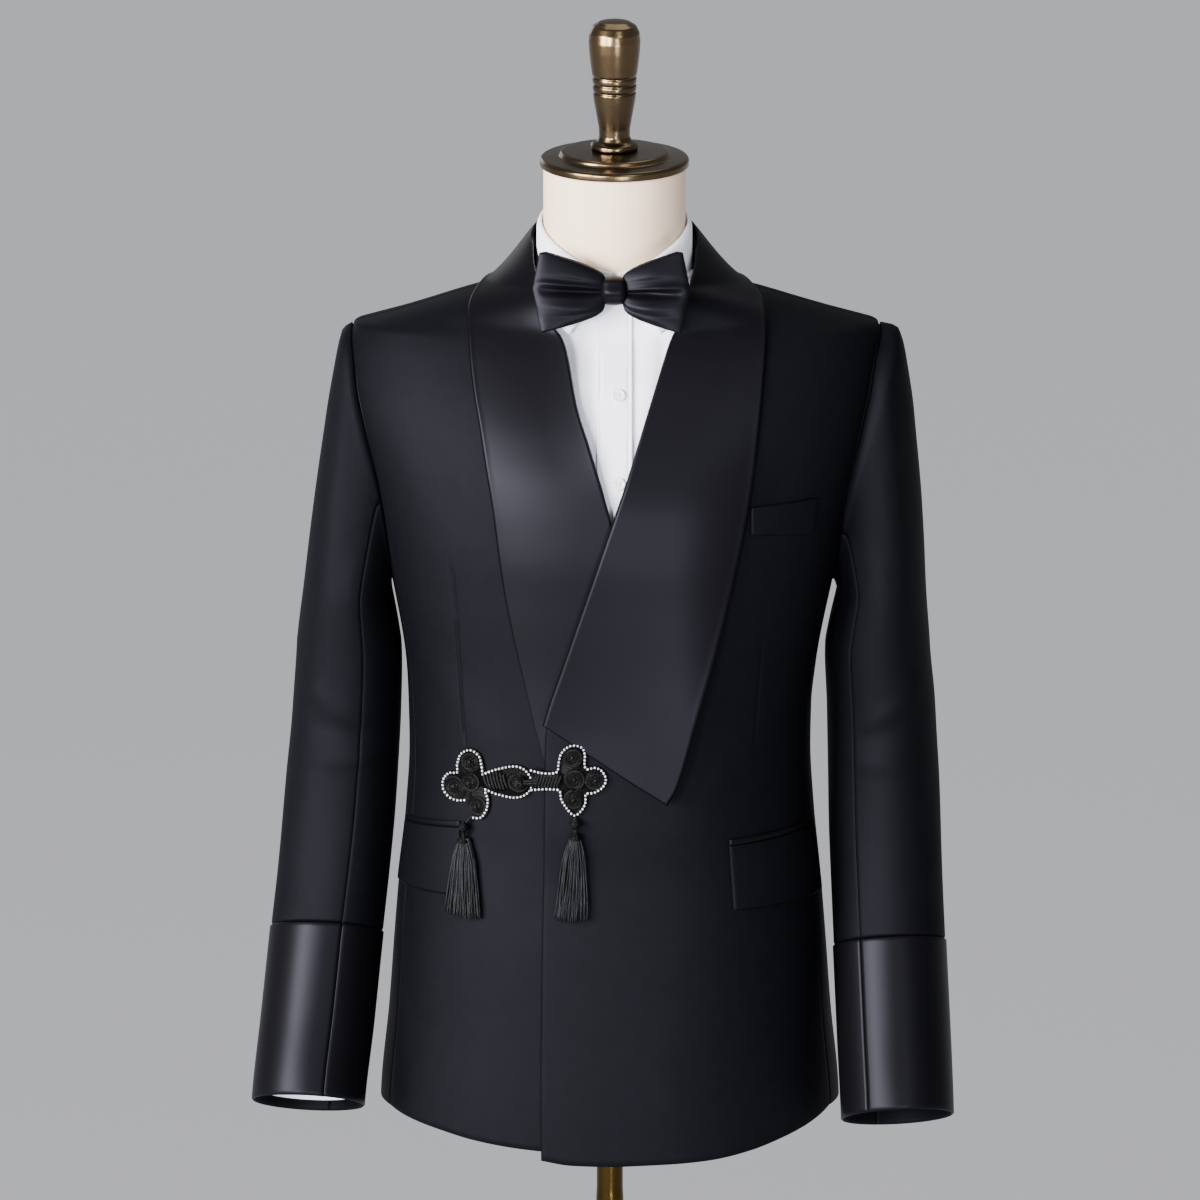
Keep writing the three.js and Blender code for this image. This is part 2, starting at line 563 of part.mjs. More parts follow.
// Shawl lapel and collar of each side
for (const side of sides) {
  const place = (at) => {
    if (at.length === 3) return [sign[side] * at[0], at[1], at[2]];
    const p = bodyPoint(side, angleInFront(side, at[0], at[1]), at[1], rest);
    return [p.x, p.y, p.z - chestLine];
  };
  const rolls = through(shawlStations[side].map(([roll]) => place(roll)));
  const outers = through(shawlStations[side].map(([, outer]) => place(outer)));
  const across = [0, 0.1, 0.3, 0.53, 0.77, 1];
  const under = evenly(24).map((v) => {
    const [roll, outer] = [point(...rolls(v)), point(...outers(v))];
    const bend = smooth(235, 285, roll.z - chestLine); // round the neck the fall starts level, then drops
    const outward = outer.clone().sub(roll).setZ(0).normalize();
    const level = roll.clone().addScaledVector(outward, 12);
    const control = roll.clone().lerp(outer, 0.5).lerp(level, bend);
    return across.map((f) => {
      const p = roll.clone().multiplyScalar((1 - f) ** 2).addScaledVector(control, 2 * f * (1 - f));
      p.addScaledVector(outer, f * f);
      const height = p.z - chestLine;
      return pushedOut(p, lapOf[side](p.x, height) + shawlRest + 1.2 * smooth(190, 235, height));
    });
  });
  const thickness = (i, j) => {
    const height = under[i][0].z - chestLine;
    const low = side === "right" ? smooth(95, 150, height) : 1;
    return satinWall + 2.2 * Math.max(1 - across[j] / 0.4, 0) ** 2 * low * (1 - smooth(240, 285, height));
  };
  const over = moved(under, (p) => new THREE.Vector3(0, p.y, 0), thickness);
  add("shawl_" + side, wall(drawnBack(over), drawnBack(under)), satin);
}

// The jacket collar's stand, from the right of the neck round the back to the left
{
  const tops = [[0, 59.6, 319.4], [32.6, 52.6, 317.2], [55.8, 30.4, 310.8], [65.8, -4, 298.8], [65.8, -20, 292]];
  const topOf = through(tops);
  const outer = between(0.3, 4, 2).map((step) =>
    between(-1, 1, 18).map((w) => {
      const side = w < 0 ? "right" : "left";
      const reach = Math.abs(w) * 110 * degree;
      const height = reach < 90 * degree ? mix(nape, neckPoint, reach / (90 * degree)) : neckPoint - (reach / degree - 90) * 0.16;
      const low = bodyPoint(side, 90 * degree - reach, height + 0.6, 0);
      const [x, y, h] = topOf(Math.abs(w));
      return low.lerp(point(neck.x + Math.sign(w) * x, y, h), (step - 0.3) / 3.7);
    }),
  );
  add("collar_stand", wall(outer, moved(outer, fromAxis, -clothWall)), wool);
}

// Sleeves: generators from the armhole to the upper arm, then pitched ovals down to the cuff
const sleeve = columns(sleeveSections, ["right", "left", "depth", "halfWidth", "halfDepth", "pitch", "slant"]);
const armTop = 10;

function sleeveRing(side, height, inset, turn) {
  const pitch = sleeve.pitch(height) * degree;
  const slant = sleeve.slant(height) * degree;
  const drop = sleeveDrop[side] * (1 - smooth(-270, -60, height));
  const across = (sleeve.halfWidth(height) - inset) * Math.cos(turn);
  const forward = (sleeve.halfDepth(height) - inset) * Math.sin(turn);
  return point(
    sign[side] * (sleeve[side](height) + across * Math.cos(slant)),
    sleeve.depth(height) - forward * Math.cos(pitch),
    height + drop + across * Math.sin(slant) + forward * Math.sin(pitch),
  );
}

function sleeveStart(side, turn, less, topLess, out) {
  return bodyPoint(side, ...onArmhole(turn, less, topLess), out);
}

// Grid of a sleeve's outer face between two turns; rows run from the armhole down
function sleeveGrid(side, turns, heights, { less = 0.6, topLess = less, out = 0.6, inset = 0, swell = null } = {}) {
  const head = sleeveHead.map(({ along, bulge }) =>
    turns.map((turn) => {
      const [u, h] = onArmhole(turn, less, topLess);
      const outward = bodyNormal(side, u, Math.min(h, 190)).setZ(0).normalize();
      const share = (0.06 + 0.94 * ((1 + Math.cos(turn)) / 2)) * headBulge[side];
      const start = sleeveStart(side, turn, less, topLess, out);
      return start.lerp(sleeveRing(side, armTop, inset, turn), along).addScaledVector(outward, bulge * (swell ?? share));
    }),
  );
  return [...head, ...heights.map((height) => turns.map((turn) => sleeveRing(side, height, inset, turn)))];
}

function sleeveWall(side, turns, heights, thickness, options, closed = false) {
  const step = turns[1] - turns[0];
  const wide = closed ? turns : [turns[0] - step, ...turns, turns.at(-1) + step];
  const outer = sleeveGrid(side, wide, heights, options);
  const { less = 0.6, topLess = less, out = 0.6 } = options;
  const outwards = (p) => new THREE.Vector3(p.x - sign[side] * 222, p.y, 0);
  const inner = moved(outer, outwards, -thickness, closed);
  inner[0] = wide.map((turn) => sleeveStart(side, turn, less + thickness, topLess + thickness, out));
  if (closed) return wall(outer, inner, true);
  const own = (grid) => drawnBack(grid.map((row) => row.slice(1, -1)));
  return wall(own(outer), own(inner));
}

const armRows = [-35, -90, -150, -210, cuffTop];
for (const side of sides) {
  const front = frontSleeveSeam[side];
  const top = between(backSleeveSeam - tau, front, 11);
  const under = between(front, backSleeveSeam, 7);
  add("sleeve_top_" + side, sleeveWall(side, top, armRows, clothWall, {}), wool);
  add("sleeve_under_" + side, sleeveWall(side, under, armRows, clothWall, {}), wool);

  const cuffRows = between(cuffTop, cuffBottom, 3);
  for (const [name, turns] of [["cuff_top_", top], ["cuff_under_", under]]) {
    const rings = (inset) => cuffRows.map((height) => turns.map((turn) => sleeveRing(side, height, inset, turn)));
    add(name + side, wall(drawnBack(rings(-0.9)), drawnBack(rings(1.5))), satin);
  }
}

// Pockets: the breast welt, and a jet and a flap on each hip
{
  const at = (side, x, h) => [angleInFront(side, x, h), h];
  const welt = [at("left", 112, 79), at("left", 162, 73), at("left", 166, 103), at("left", 112, 101)];
  add("breast_welt", straightPanel("left", welt, 4, 1, (x, h) => lap(x, h) + rest + 2.1, 1.8), wool);
  const pockets = {
    left: { top: [94.7, -179.5], bottom: [99, -233], sideTop: [-33, -178], sideBottom: [-28, -236] },
    right: { top: [121, -168], bottom: [118, -224], sideTop: [-28, -178], sideBottom: [-23, -229] },
  };
  for (const side of sides) {
    const { top, bottom, sideTop, sideBottom } = pockets[side];
    const corner = ([y, h], rise = 0) => [angleAtSide(y, h + rise), h + rise];
    const flap = [at(side, ...bottom), corner(sideBottom), corner(sideTop), at(side, ...top)];
    add("flap_" + side, straightPanel(side, flap, 6, 3, (x, h) => lapOf[side](x, h) + rest + 2.4, 2), wool);
    const jet = [at(side, top[0], top[1] + 0.7), corner(sideTop, 0.7), corner(sideTop, 5), at(side, top[0], top[1] + 5)];
    add("jet_" + side, straightPanel(side, jet, 6, 1, (x, h) => lapOf[side](x, h) + rest + 2, 1.4), satin);
  }
}

// Frog fastening: braid lobes, a loop on the right front, and a bar with a ball on the left one
const lobes = {
  right: [[126, -136, 9], [113, -113, 9.6], [107, -151, 9]],
  left: [[-27.5, -119, 9], [-29.5, -101.6, 9], [-10.5, -120, 9], [-27.5, -136.4, 9]],
};
const cordRadius = 1.9;
const onFront = (side, x, h, out) => {
  const u = angleInFront(side, x, h);
  return { p: bodyPoint(side, u, h, out + lapOf[side](x, h) + rest + 0.5), n: bodyNormal(side, u, h) };
};
function cordOnFront(side, places, out, closed, radius = cordRadius) {
  const spots = places.map(([x, h]) => onFront(side, x, h, out));
  return cord(spots.map(({ p }) => p), spots.map(({ n }) => n), radius, closed);
}
function lobe(side, [x, h, radius]) {
  const profile = [[1, 0.3], [1.04, 1.9], [0.9, 3.7], [0.66, 2.6], [0.3, 3.6]];
  const rings = profile.map(([share, out]) =>
    between(0, tau, 9).slice(1).map((a) => {
      return onFront(side, x + share * radius * Math.cos(a), h + share * radius * Math.sin(a), out).p;
    }),
  );
  return loft(rings);
}
{
  const teardrop = [[101, -127], [94, -121], [82, -118], [70, -118], [62, -124], [70, -131], [82, -131.5], [94, -130.5]];
  const stems = lobes.right.map(([x, h]) => between(0, 1, 3).map((t) => [mix(x, 101, t), mix(h, -128, t)]));
  const right = [...lobes.right.map((row) => lobe("right", row)), cordOnFront("right", teardrop, cordRadius + 0.1, true),
    ...stems.map((places) => cordOnFront("right", places, 2.2, false, 2.1))];
  add("frog_right", joined(right), braid);

  const barCorners = [[-61, -128.6], [-33, -124], [-33, -114], [-61, -113.4]].map(([x, h]) => [angleInFront("left", x, h), h]);
  const bar = straightPanel("left", barCorners, 4, 1, (x, h) => lap(x, h) + rest + 3.8, 3.2);
  const ball = onFront("right", 72, -124, 7.4);
  const knot = turnedBody(between(-70, 70, 5).map((a) => [5.6 * Math.cos(a * degree), 5.6 * Math.sin(a * degree)]), ball.p, 0, 8);
  const link = cord(
    [ball.p.clone(), onFront("left", -64, -123, 2.6).p, onFront("left", -56, -122, 2.4).p],
    [ball.n, ball.n, ball.n],
    2.4,
  );
  const left = [...lobes.left.map((row) => lobe("left", row)), bar,
    knot, link];
  add("frog_left", joined(left), braid);
}

// Tassels: a stem that ends just short of the lobe above, a ball head, and a flat fan of threads
// whose roots run up into the head
function tassel(side, head, foot, spread, [lobeX, lobeH, lobeRadius]) {
  const [x, h] = head;
  const reach = Math.hypot(lobeX - x, lobeH - h);
  const share = (reach - 1.04 * lobeRadius - 0.3) / reach;
  const stem = [[0, 6.2], [0.55, 3.6], [0.85, 2.1], [1, 1.9]].map(([f, out]) =>
    onFront(side, mix(x, lobeX, f * share), mix(h, lobeH, f * share), out),
  );
  const ball = onFront(side, x, h, 6.2).p;
  const bodyOf = [[0.8, -5], [3.6, -3.8], [5, 0], [3.8, 3.6], [1.6, 5.2]];
  const cap = turnedBody(bodyOf, ball, 0, 8);
  const skirtTop = turnedBody([[1, -13], [5, -12.4], [5.4, -8], [3.4, -3.2], [0.8, -2.6]], ball, 0, 8);
  const threads = between(-1, 1, 18).flatMap((t, i) => {
    const layer = i % 2;
    const rows = evenly(2).map((f) => {
      const across = mix(4.4, spread, f ** 0.85) * t;
      const place = onFront(side, mix(x, foot[0], f) + across, mix(h - 10, foot[1], f) + 2.2 * t * t * f, 4 + layer * 2.2);
      return { ...place, size: 0.95 };
    });
    return cord(rows.map(({ p }) => p), rows.map(({ n }) => n), rows.map(({ size }) => size), false, 3);
  });
  const hanger = cord(stem.map(({ p }) => p), stem.map(({ n }) => n), 1.4, false, 4);
  return joined([hanger, cap, skirtTop, ...threads]);
}
add("tassel_right", tassel("right", [116, -167], [117, -241], 16, lobes.right[2]), braid);
add("tassel_left", tassel("left", [-27, -156], [-32, -237], 17, lobes.left[3]), braid);

// Shirt: fronts, back, placket and buttons inside the jacket
const shirtIn = (h) => -mix(8, 4.8, smooth(250, 264, h)) - 2 * smooth(200, 220, h) * (1 - smooth(235, 250, h));
const shirtHem = -290;
const shirtRows = [0, 0.17, 0.34, 0.5, 0.62, 0.72, 0.8, 0.86, 0.91, 0.95, 0.98, 1];
const shirtLess = { less: 7.4, topLess: 0 };
const shirtNeck = { front: 262, side: 268.5, back: 281 };
{
  const out = (x, h) => shirtIn(h);
  const hole = (from, to) => between(from, to, 16).map((turn) => onArmhole(turn, shirtLess.less, shirtLess.topLess));
  const low = onArmhole(180 * degree, shirtLess.less, shirtLess.topLess)[1];
  const seam = between(shirtHem, low, 8).slice(0, -1).map((h) => [0, h]);
  const middle = { left: 3.5, right: -3.5 };
  for (const side of sides) {
    const centre = between(shirtHem, shirtNeck.front, 12).map((h) => [angleInFront(side, middle[side], h), h]);
    const throat = between(0, 1, 6).map((t) => [mix(centre.at(-1)[0], 0, t), mix(shirtNeck.front, shirtNeck.side, t)]);
    const shoulder = between(shirtNeck.side, shoulderTip, 5).slice(1).map((h) => [0, h]);
    const edges = {
      left: edge(side, centre),
      bottom: edge(side, between(centre[0][0], 0, 6).map((u) => [u, shirtHem])),
      right: edge(side, [...seam, ...hole(180 * degree, 0)]),
      top: edge(side, [...throat, ...shoulder]),
    };
    add("shirt_front_" + side, panel(side, edges, evenly(6), shirtRows, out, shirtWall), cotton);
  }
  const backs = sides.map((side) => {
    const edges = {
      left: edge(side, between(shirtHem, shirtNeck.back, 12).map((h) => [90 * degree, h])),
      bottom: edge(side, between(90 * degree, 0, 6).map((u) => [u, shirtHem])),
      right: edge(side, [...seam, ...hole(180 * degree, 360 * degree)]),
      top: edge(side, [...between(0, 1, 5).map((t) => [(1 - t) * 90 * degree, mix(shirtNeck.back, shirtNeck.side, t)]),
        ...between(shirtNeck.side, shoulderTip, 5).slice(1).map((h) => [0, h])]),
    };
    return patch(edges, evenly(5), shirtRows).map((row) => row.map(([u, h]) => ({ side, u, h })));
  });
  const rows = backs[0].map((row, i) => [...row.toReversed(), ...backs[1][i].slice(1)]);
  const deeper = (u, h) => 7 * smooth(0, 0.16, u) * (1 - smooth(0.5, 0.9, u)) * smooth(190, 215, h) * (1 - smooth(262, 276, h));
  const layer = (less) =>
    rows.map((row) => row.map(({ side, u, h }) => bodyPoint(side, u, h, shirtIn(h) - deeper(u, h) - less)));
  add("shirt_back", wall(drawnBack(layer(0)), drawnBack(layer(shirtWall))), cotton);

  const strip = [0.005, ...shirtRows.slice(1, -1), 0.995].map((t) => mix(shirtHem, shirtNeck.front, t)).map((h) =>
    between(-14.5, 14.5, 2).map((x) => [angleInFront("left", neck.x + x, h), h]),
  );
  const face = (more) => strip.map((row) => row.map(([u, h]) => bodyPoint("left", u, h, shirtIn(h) + more)));
  add("shirt_placket", wall(face(1 + shirtWall), face(1)), cotton);
  const button = [[4.8, 0], [5.6, 0.5], [5.4, 1.5], [4, 1.1]];
  const buttonRows = [[191, 0.45], [122, 0], [53, 0.9], [-16, 0.9], [-85, 0.9]]; // height, and rise over the placket
  buttonRows.forEach(([h, rise], i) => {
    const u = angleInFront("left", 6.8, h);
    const foot = bodyPoint("left", u, h, shirtIn(h) + 1 + shirtWall + rise);
    const n = bodyNormal("left", u, h);
    const turn = new THREE.Quaternion().setFromUnitVectors(new THREE.Vector3(0, 0, 1), n);
    const disc = turnedBody(button, new THREE.Vector3(), 0, 12).applyQuaternion(turn).translate(foot.x, foot.y, foot.z);
    add("shirt_button_" + (i + 1), disc, pearl);
  });
}

// Shirt collar: a stand, and a leaf that folds over it and over the bow tie's band
{
  const rows = collarStations.map(({ turn, fold, edgeTurn, edge: low, reach }) => [turn, fold, edgeTurn, low, reach]);
  const collar = through(rows);
  const onNeck = (angle, radius, h) => point(neck.x + radius * Math.sin(angle * degree), neck.y + radius * Math.cos(angle * degree), h);
  const ways = between(-1, 1, 28);
  const leaf = [0, 0.04, 0.1, 0.4, 0.7, 1].map((f) =>
    ways.map((w) => {
      const [turn, fold, edgeTurn, low, reach] = collar(Math.abs(w));
      const angle = Math.sign(w) * mix(turn, edgeTurn, smooth(0, 1, f) * 0.4 + f * 0.6);
      if (f < 0.05) return onNeck(angle, f === 0 ? 58.8 : 60.6, fold + (f === 0 ? 0.5 : 1.1));
      const p = onNeck(angle, mix(61.9, reach, f ** 1.5), mix(fold, low, f));
      const height = p.z - chestLine;
      return height < 275 ? pushedOut(p, shirtIn(height) + 3.1) : p;
    }),
  );
  const up = (p) => fromAxis(p).normalize();
  add("shirt_collar", wall(drawnBack(moved(leaf, up, shirtWall)), drawnBack(leaf)), cotton);

  const neckline = (w) => {
    const u = 90 * degree - Math.abs(w) * 176 * degree;
    const h = u > 0 ? mix(shirtNeck.side, shirtNeck.back, u / (90 * degree)) : mix(shirtNeck.side, shirtNeck.front, -u / (90 * degree));
    return bodyPoint(w < 0 ? "right" : "left", u, h + 1.6, shirtIn(h) + 0.2);
  };
  const stand = evenly(2).map((f) =>
    ways.map((w) => {
      const [turn, fold] = collar(Math.abs(w));
      const low = neckline(w);
      if (f === 0) return low;
      return onNeck(Math.sign(w) * turn, 59.8, mix(low.z - chestLine + 5, fold, 2 * f - 1));
    }),
  );
  add("shirt_collar_stand", wall(stand, moved(stand, up, -shirtWall)), cotton);
  const band = [4, 14].map((down) =>
    ways.slice(0, -1).map((w) => {
      const [turn, fold] = collar(Math.abs(w));
      return onNeck(Math.sign(w) * turn * (180 / 176), 61.3, fold - down);
    }),
  );
  const bandIn = band.map((row) => row.map((p) => p.clone().addScaledVector(fromAxis(p).normalize(), -1)));
  add("bow_band", wall(band, bandIn, true), satin);
}

// Bow tie: each wing is a strip that goes out and folds back, and the knot holds them
const bow = { x: 3, y: -85, h: 271, knotWidth: 12, knotHeight: 12.5, knotDepth: 12.3, reach: 62 };
for (const side of sides) {
  const top = (s) => mix(14, 33.5, s ** 0.8) - 2.5 * smooth(0.85, 1, s);
  const bottom = (s) => -mix(14, 32, s ** 0.8) - (side === "left" ? 1 : 0) * s;
  const grid = evenly(4).map((r) =>
    between(-1, 1, 14).map((q) => {
      const s = 1 - q * q;
      const x = mix(bow.knotWidth - 1.5, bow.reach - 3 * Math.abs(r - 0.45), s);
      const half = mix(2.2, 2.9, s) * Math.sqrt(Math.max(1 - s ** 8, 0)) * Math.sign(q || 1);
      const y = bow.y - 5 * s + half * (q === 0 ? 0 : 1);
      return point(bow.x + sign[side] * x, y, bow.h + mix(bottom(s), top(s), r));
    }),
  );
  const inner = grid.map((row) =>
    row.map((p, j) => {
      const q = between(-1, 1, 14)[j];
      const side2 = Math.abs(q) < 0.25 ? 1 - Math.abs(q) / 0.25 : 0;
      const step = new THREE.Vector3(-sign[side] * side2, -Math.sign(q) * (1 - side2), 0).normalize();
      return p.clone().addScaledVector(step, shirtWall);
    }),
  );
  add("bow_wing_" + side, wall(grid, inner), satin);
}
{
  const rings = between(-1, 1, 5).map((r) => {
    const size = (1 - Math.abs(r) ** 4 * 0.55) ** 0.5;
    return between(0, tau, 16).slice(1).map((a) => {
      const x = power(Math.cos(a), 0.7) * (bow.knotWidth - 2) * size;
      return point(bow.x + x, bow.y + 2 + power(Math.sin(a), 0.7) * bow.knotDepth * size, bow.h + r * bow.knotHeight);
    });
  });
  add("bow_knot", loft(rings), satin);
}

// Shirt sleeves and cuffs inside the jacket sleeves
for (const side of sides) {
  const all = between(0, tau, 10).slice(1);
  const options = { less: 8, topLess: 3, out: shirtIn(195) + 0.6, inset: 6.5, swell: 11.5 };
  add("shirt_sleeve_" + side, sleeveWall(side, all, [-70, -150, -230, -280, -330], shirtWall, options, true), cotton);
  const rings = (inset) => between(-330.6, -397, 2).map((h) => all.map((turn) => sleeveRing(side, h, inset, turn)));
  add("shirt_cuff_" + side, wall(rings(6.5), rings(8.1), true), cotton);
}

// Dress form, its neck cap and finial, and the stand
{
  const form = columns(formSections, ["halfWidth", "halfDepth", "fullness", "x", "y"]);
  const lean = 5 * degree;
  const rings = formSections.map(({ height }) =>
    between(0, tau, 24).slice(1).map((a) => {
      const exponent = 2 / form.fullness(height);
      const y = form.y(height) + form.halfDepth(height) * power(Math.sin(a), exponent);
      const tip = height === neck.top ? (y - neck.y) * Math.tan(lean) : 0;
      return point(form.x(height) + form.halfWidth(height) * power(Math.cos(a), exponent), y, height + tip);
    }),
  );
  add("form_torso", loft(rings), linen);
  const foot = point(neck.x, neck.y, neck.top);
  const cap = [[60.2, 0.4], [60.5, 1], [60.5, 5.5], [59, 7.5], [46, 8.5], [44.4, 9], [44, 11.6], [42, 12.6], [20, 13.6], [1, 13.6]];
  add("neck_cap", turnedBody(cap, foot, lean, 24), brass);
  const finial = [[18.6, 14], [19.3, 15], [19.3, 18], [18, 19.2], [14, 21], [12.5, 24.5], [12.7, 31], [14.6, 42], [16.8, 54],
    [17.6, 60.5], [16.6, 61.8], [17.7, 63.2], [17.8, 66.8], [16.8, 68.2], [17.9, 69.6], [18, 73], [17.1, 74.4], [18.3, 75.8],
    [19.4, 84], [20.6, 95], [21, 103], [20.3, 110], [17.6, 115.4], [12, 118.8], [5, 120], [0.6, 120.2]];
  add("finial", turnedBody(finial, foot, lean, 13), brass);

  const floor = (rise) => new THREE.Vector3(0, 0, rise);
  const base = [[baseRadius - 4, 0], [baseRadius, 3], [baseRadius, 9], [baseRadius - 4, 13], [60, 20], [30, 26], [22, 34],
    [20, 52], [poleRadius + 1, 54], [1, 54]];
  add("base", turnedBody(base, floor(0), 0, 24), brass);
  const poleTop = chestLine + formBottom - 54.6;
  add("pole", turnedBody([[poleRadius, 0], [poleRadius, poleTop]], floor(54.3), 0, 16), brass);
}

export default tuxedo;
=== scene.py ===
# A tuxedo on a limbless dress form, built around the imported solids: wrap-front dinner jacket with
# satin shawl and cuffs, frog fastening with two tassels, white dress shirt and black bow tie.
# Sizes are in millimetres until a mesh is made; heights count from the chest line.
import bpy
import numpy as np
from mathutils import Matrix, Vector


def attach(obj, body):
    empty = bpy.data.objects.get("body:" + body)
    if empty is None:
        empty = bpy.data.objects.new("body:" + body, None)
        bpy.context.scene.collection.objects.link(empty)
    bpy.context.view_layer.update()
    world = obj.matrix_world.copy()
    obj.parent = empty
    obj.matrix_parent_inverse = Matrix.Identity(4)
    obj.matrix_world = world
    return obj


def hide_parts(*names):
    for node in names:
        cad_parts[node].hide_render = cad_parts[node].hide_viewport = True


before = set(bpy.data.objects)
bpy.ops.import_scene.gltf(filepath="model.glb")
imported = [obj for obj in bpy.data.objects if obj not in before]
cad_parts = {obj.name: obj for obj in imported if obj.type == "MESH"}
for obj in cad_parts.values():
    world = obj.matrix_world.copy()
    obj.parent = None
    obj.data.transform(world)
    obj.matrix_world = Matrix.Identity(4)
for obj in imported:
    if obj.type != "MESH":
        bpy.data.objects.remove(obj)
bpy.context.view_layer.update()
print("frame loaded:", len(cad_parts), "nodes")

chestLine = 1120
tau = 2 * np.pi
degree = np.pi / 180
sides = ("left", "right")
sign = {"left": 1, "right": -1}


# Curves and tables

# monotone cubic through x and y, which never overshoots its points
def curve(xs, ys):
    order = np.argsort(xs)
    xs, ys = np.asarray(xs, float)[order], np.asarray(ys, float)[order]
    step = np.diff(xs)
    rise = np.diff(ys) / step
    slope = np.empty(len(xs))
    slope[0], slope[-1] = rise[0], rise[-1]
    before, after = 2 * step[1:] + step[:-1], step[1:] + 2 * step[:-1]
    with np.errstate(divide="ignore", invalid="ignore"):
        inner = (before + after) / (before / rise[:-1] + after / rise[1:])
    slope[1:-1] = np.where(rise[:-1] * rise[1:] > 0, inner, 0)

    def at(x):
        x = np.clip(x, xs[0], xs[-1])
        i = np.clip(np.searchsorted(xs, x, side="right") - 1, 0, len(step) - 1)
        t = (x - xs[i]) / step[i]
        start = (2 * t**3 - 3 * t**2 + 1) * ys[i] + (t**3 - 2 * t**2 + t) * step[i] * slope[i]
        return start + (3 * t**2 - 2 * t**3) * ys[i + 1] + (t**3 - t**2) * step[i] * slope[i + 1]

    return at


# each column of a table as a curve over its first column
def columns(names, rows):
    data = np.array(rows, float).T
    return {name: curve(data[0], data[i + 1]) for i, name in enumerate(names.split())}


# smooth curve through points, read from 0 to 1 by their count
def through(points):
    p = np.array(points, float)
    last = len(p) - 1
    p = np.vstack([2 * p[0] - p[1], p, 2 * p[-1] - p[-2]])

    def at(t):
        t = np.clip(np.asarray(t, float), 0, 1) * last
        i = np.minimum(t.astype(int), last - 1)
        f = (t - i)[..., None]
        a, b, c, d = p[i], p[i + 1], p[i + 2], p[i + 3]
        start = (2 * f**3 - 3 * f**2 + 1) * b + (f**3 - 2 * f**2 + f) * (c - a) / 2
        return start + (3 * f**2 - 2 * f**3) * c + (f**3 - f**2) * (d - b) / 2

    return at


# 0 below low, 1 above high, and 3t2 - 2t3 between them
def smooth(low, high, value):
    t = np.clip((np.asarray(value, float) - low) / (high - low), 0, 1)
    return t * t * (3 - 2 * t)


# straight line from a to b
def mix(a, b, t):
    return a + (b - a) * t


# a power that keeps the sign
def power(value, exponent):
    return np.sign(value) * np.abs(value) ** exponent


# x, y and a height over the chest line as points
def point(x, y, h):
    return np.stack(np.broadcast_arrays(x, y, np.asarray(h, float) + chestLine), -1).astype(float)


# vectors divided by their length
def unit(v):
    return v / np.maximum(np.linalg.norm(v, axis=-1, keepdims=True), 1e-9)


# values from 0 to 1 whose first and last spans are narrow, so that a wall's rim turns in them; dense
# adds more of them round a place
def steps(count, length, dense=()):
    narrow = 0.8 / length
    values = np.linspace(narrow, 1 - narrow, count)
    for middle, reach, extra in dense:
        values = np.concatenate([values, middle + np.linspace(-reach, reach, extra) / length])
    values = np.unique(np.round(np.concatenate([[0, 1],
                                                values[(values > narrow / 2) & (values < 1
                                                    - narrow / 2)]]), 6))
    return values


# The body under the jacket

bodyTable = columns("halfWidth front back fullness shift", [
    (-460, 192, 141, 137, 2.25, 0), (-409, 190, 140, 138, 2.25, 0), (-340, 183, 137, 136, 2.25, 0),
    (-275, 178, 134, 131, 2.25, 0), (-228, 174, 131, 126, 2.25, 0), (-169, 168, 128, 118, 2.25, 0),
    (-118, 165, 127, 113, 2.25, 0), (-84, 165.5, 127, 112, 2.28, 0), (-50, 168, 128, 113, 2.3, 1),
    (20, 180, 132, 120, 2.4, 2), (59, 188.5, 134, 125, 2.4, 2.5), (89, 195.5, 133, 127, 2.4, 2.5),
    (118, 203, 130, 127, 2.4, 2.5), (154, 213, 121, 120, 2.4, 2.5), (190, 219, 106, 106, 2.4, 3),
    (215, 218, 92, 93, 2.4, 4), (232, 213, 81, 82, 2.35, 5), (236, 200, 79, 79, 2.3, 5),
    (241, 181, 78, 76, 2.3, 5), (249.5, 152, 77, 72, 2.3, 4.5), (257.5, 126, 76, 68, 2.25, 4),
    (263, 105, 75.5, 66, 2.2, 4), (270, 76, 75, 63, 2.2, 4), (280, 68, 74, 61, 2.1, 4),
    (300, 64, 72, 60, 2, 4),
])
cloth = {"wall": 2, "satinWall": 2.2, "shirtWall": 1.2, "rest": 0.4, "shawlRest": 1, "seam": -0.25}
neck = {"x": 3.5, "y": -8, "top": 361}
armhole = {"height": 125, "halfHeight": 107, "front": 55, "back": 50, "frontSeam": 140 * degree,
           "backSeam": 220 * degree}
shoulder = {"tip": 232, "neckPoint": 270, "nape": 284}


# superellipse sections: angle u runs from the front middle (-90 degrees) over the side (0) to the back (90)
def onBody(side, u, h):
    u, h = np.broadcast_arrays(np.asarray(u, float), np.asarray(h, float))
    exponent = 2 / bodyTable["fullness"](h)
    depth = np.where(np.sin(u) < 0, bodyTable["front"](h), bodyTable["back"](h))
    x = bodyTable["shift"](h) + sign[side] * bodyTable["halfWidth"](h) * power(np.cos(u), exponent)
    return point(x, depth * power(np.sin(u), exponent), h)


# cross product of the steps round and up the body
def bodyNormal(side, u, h):
    around = onBody(side, u + 0.012, h) - onBody(side, u - 0.012, h)
    upwards = onBody(side, u, h + 1.2) - onBody(side, u, h - 1.2)
    return unit(np.cross(around, upwards) * sign[side])


# a point of the body moved out along its normal
def bodyPoint(side, u, h, out):
    return onBody(side, u, h) + bodyNormal(side, u, h) * np.asarray(out, float)[..., None]


# angle of the front point at a distance x towards its own side
def angleInFront(side, x, h):
    off = x - sign[side] * bodyTable["shift"](h)
    share = np.minimum(np.abs(off) / bodyTable["halfWidth"](h), 1)
    return -np.arccos(np.sign(off) * share ** (bodyTable["fullness"](h) / 2))


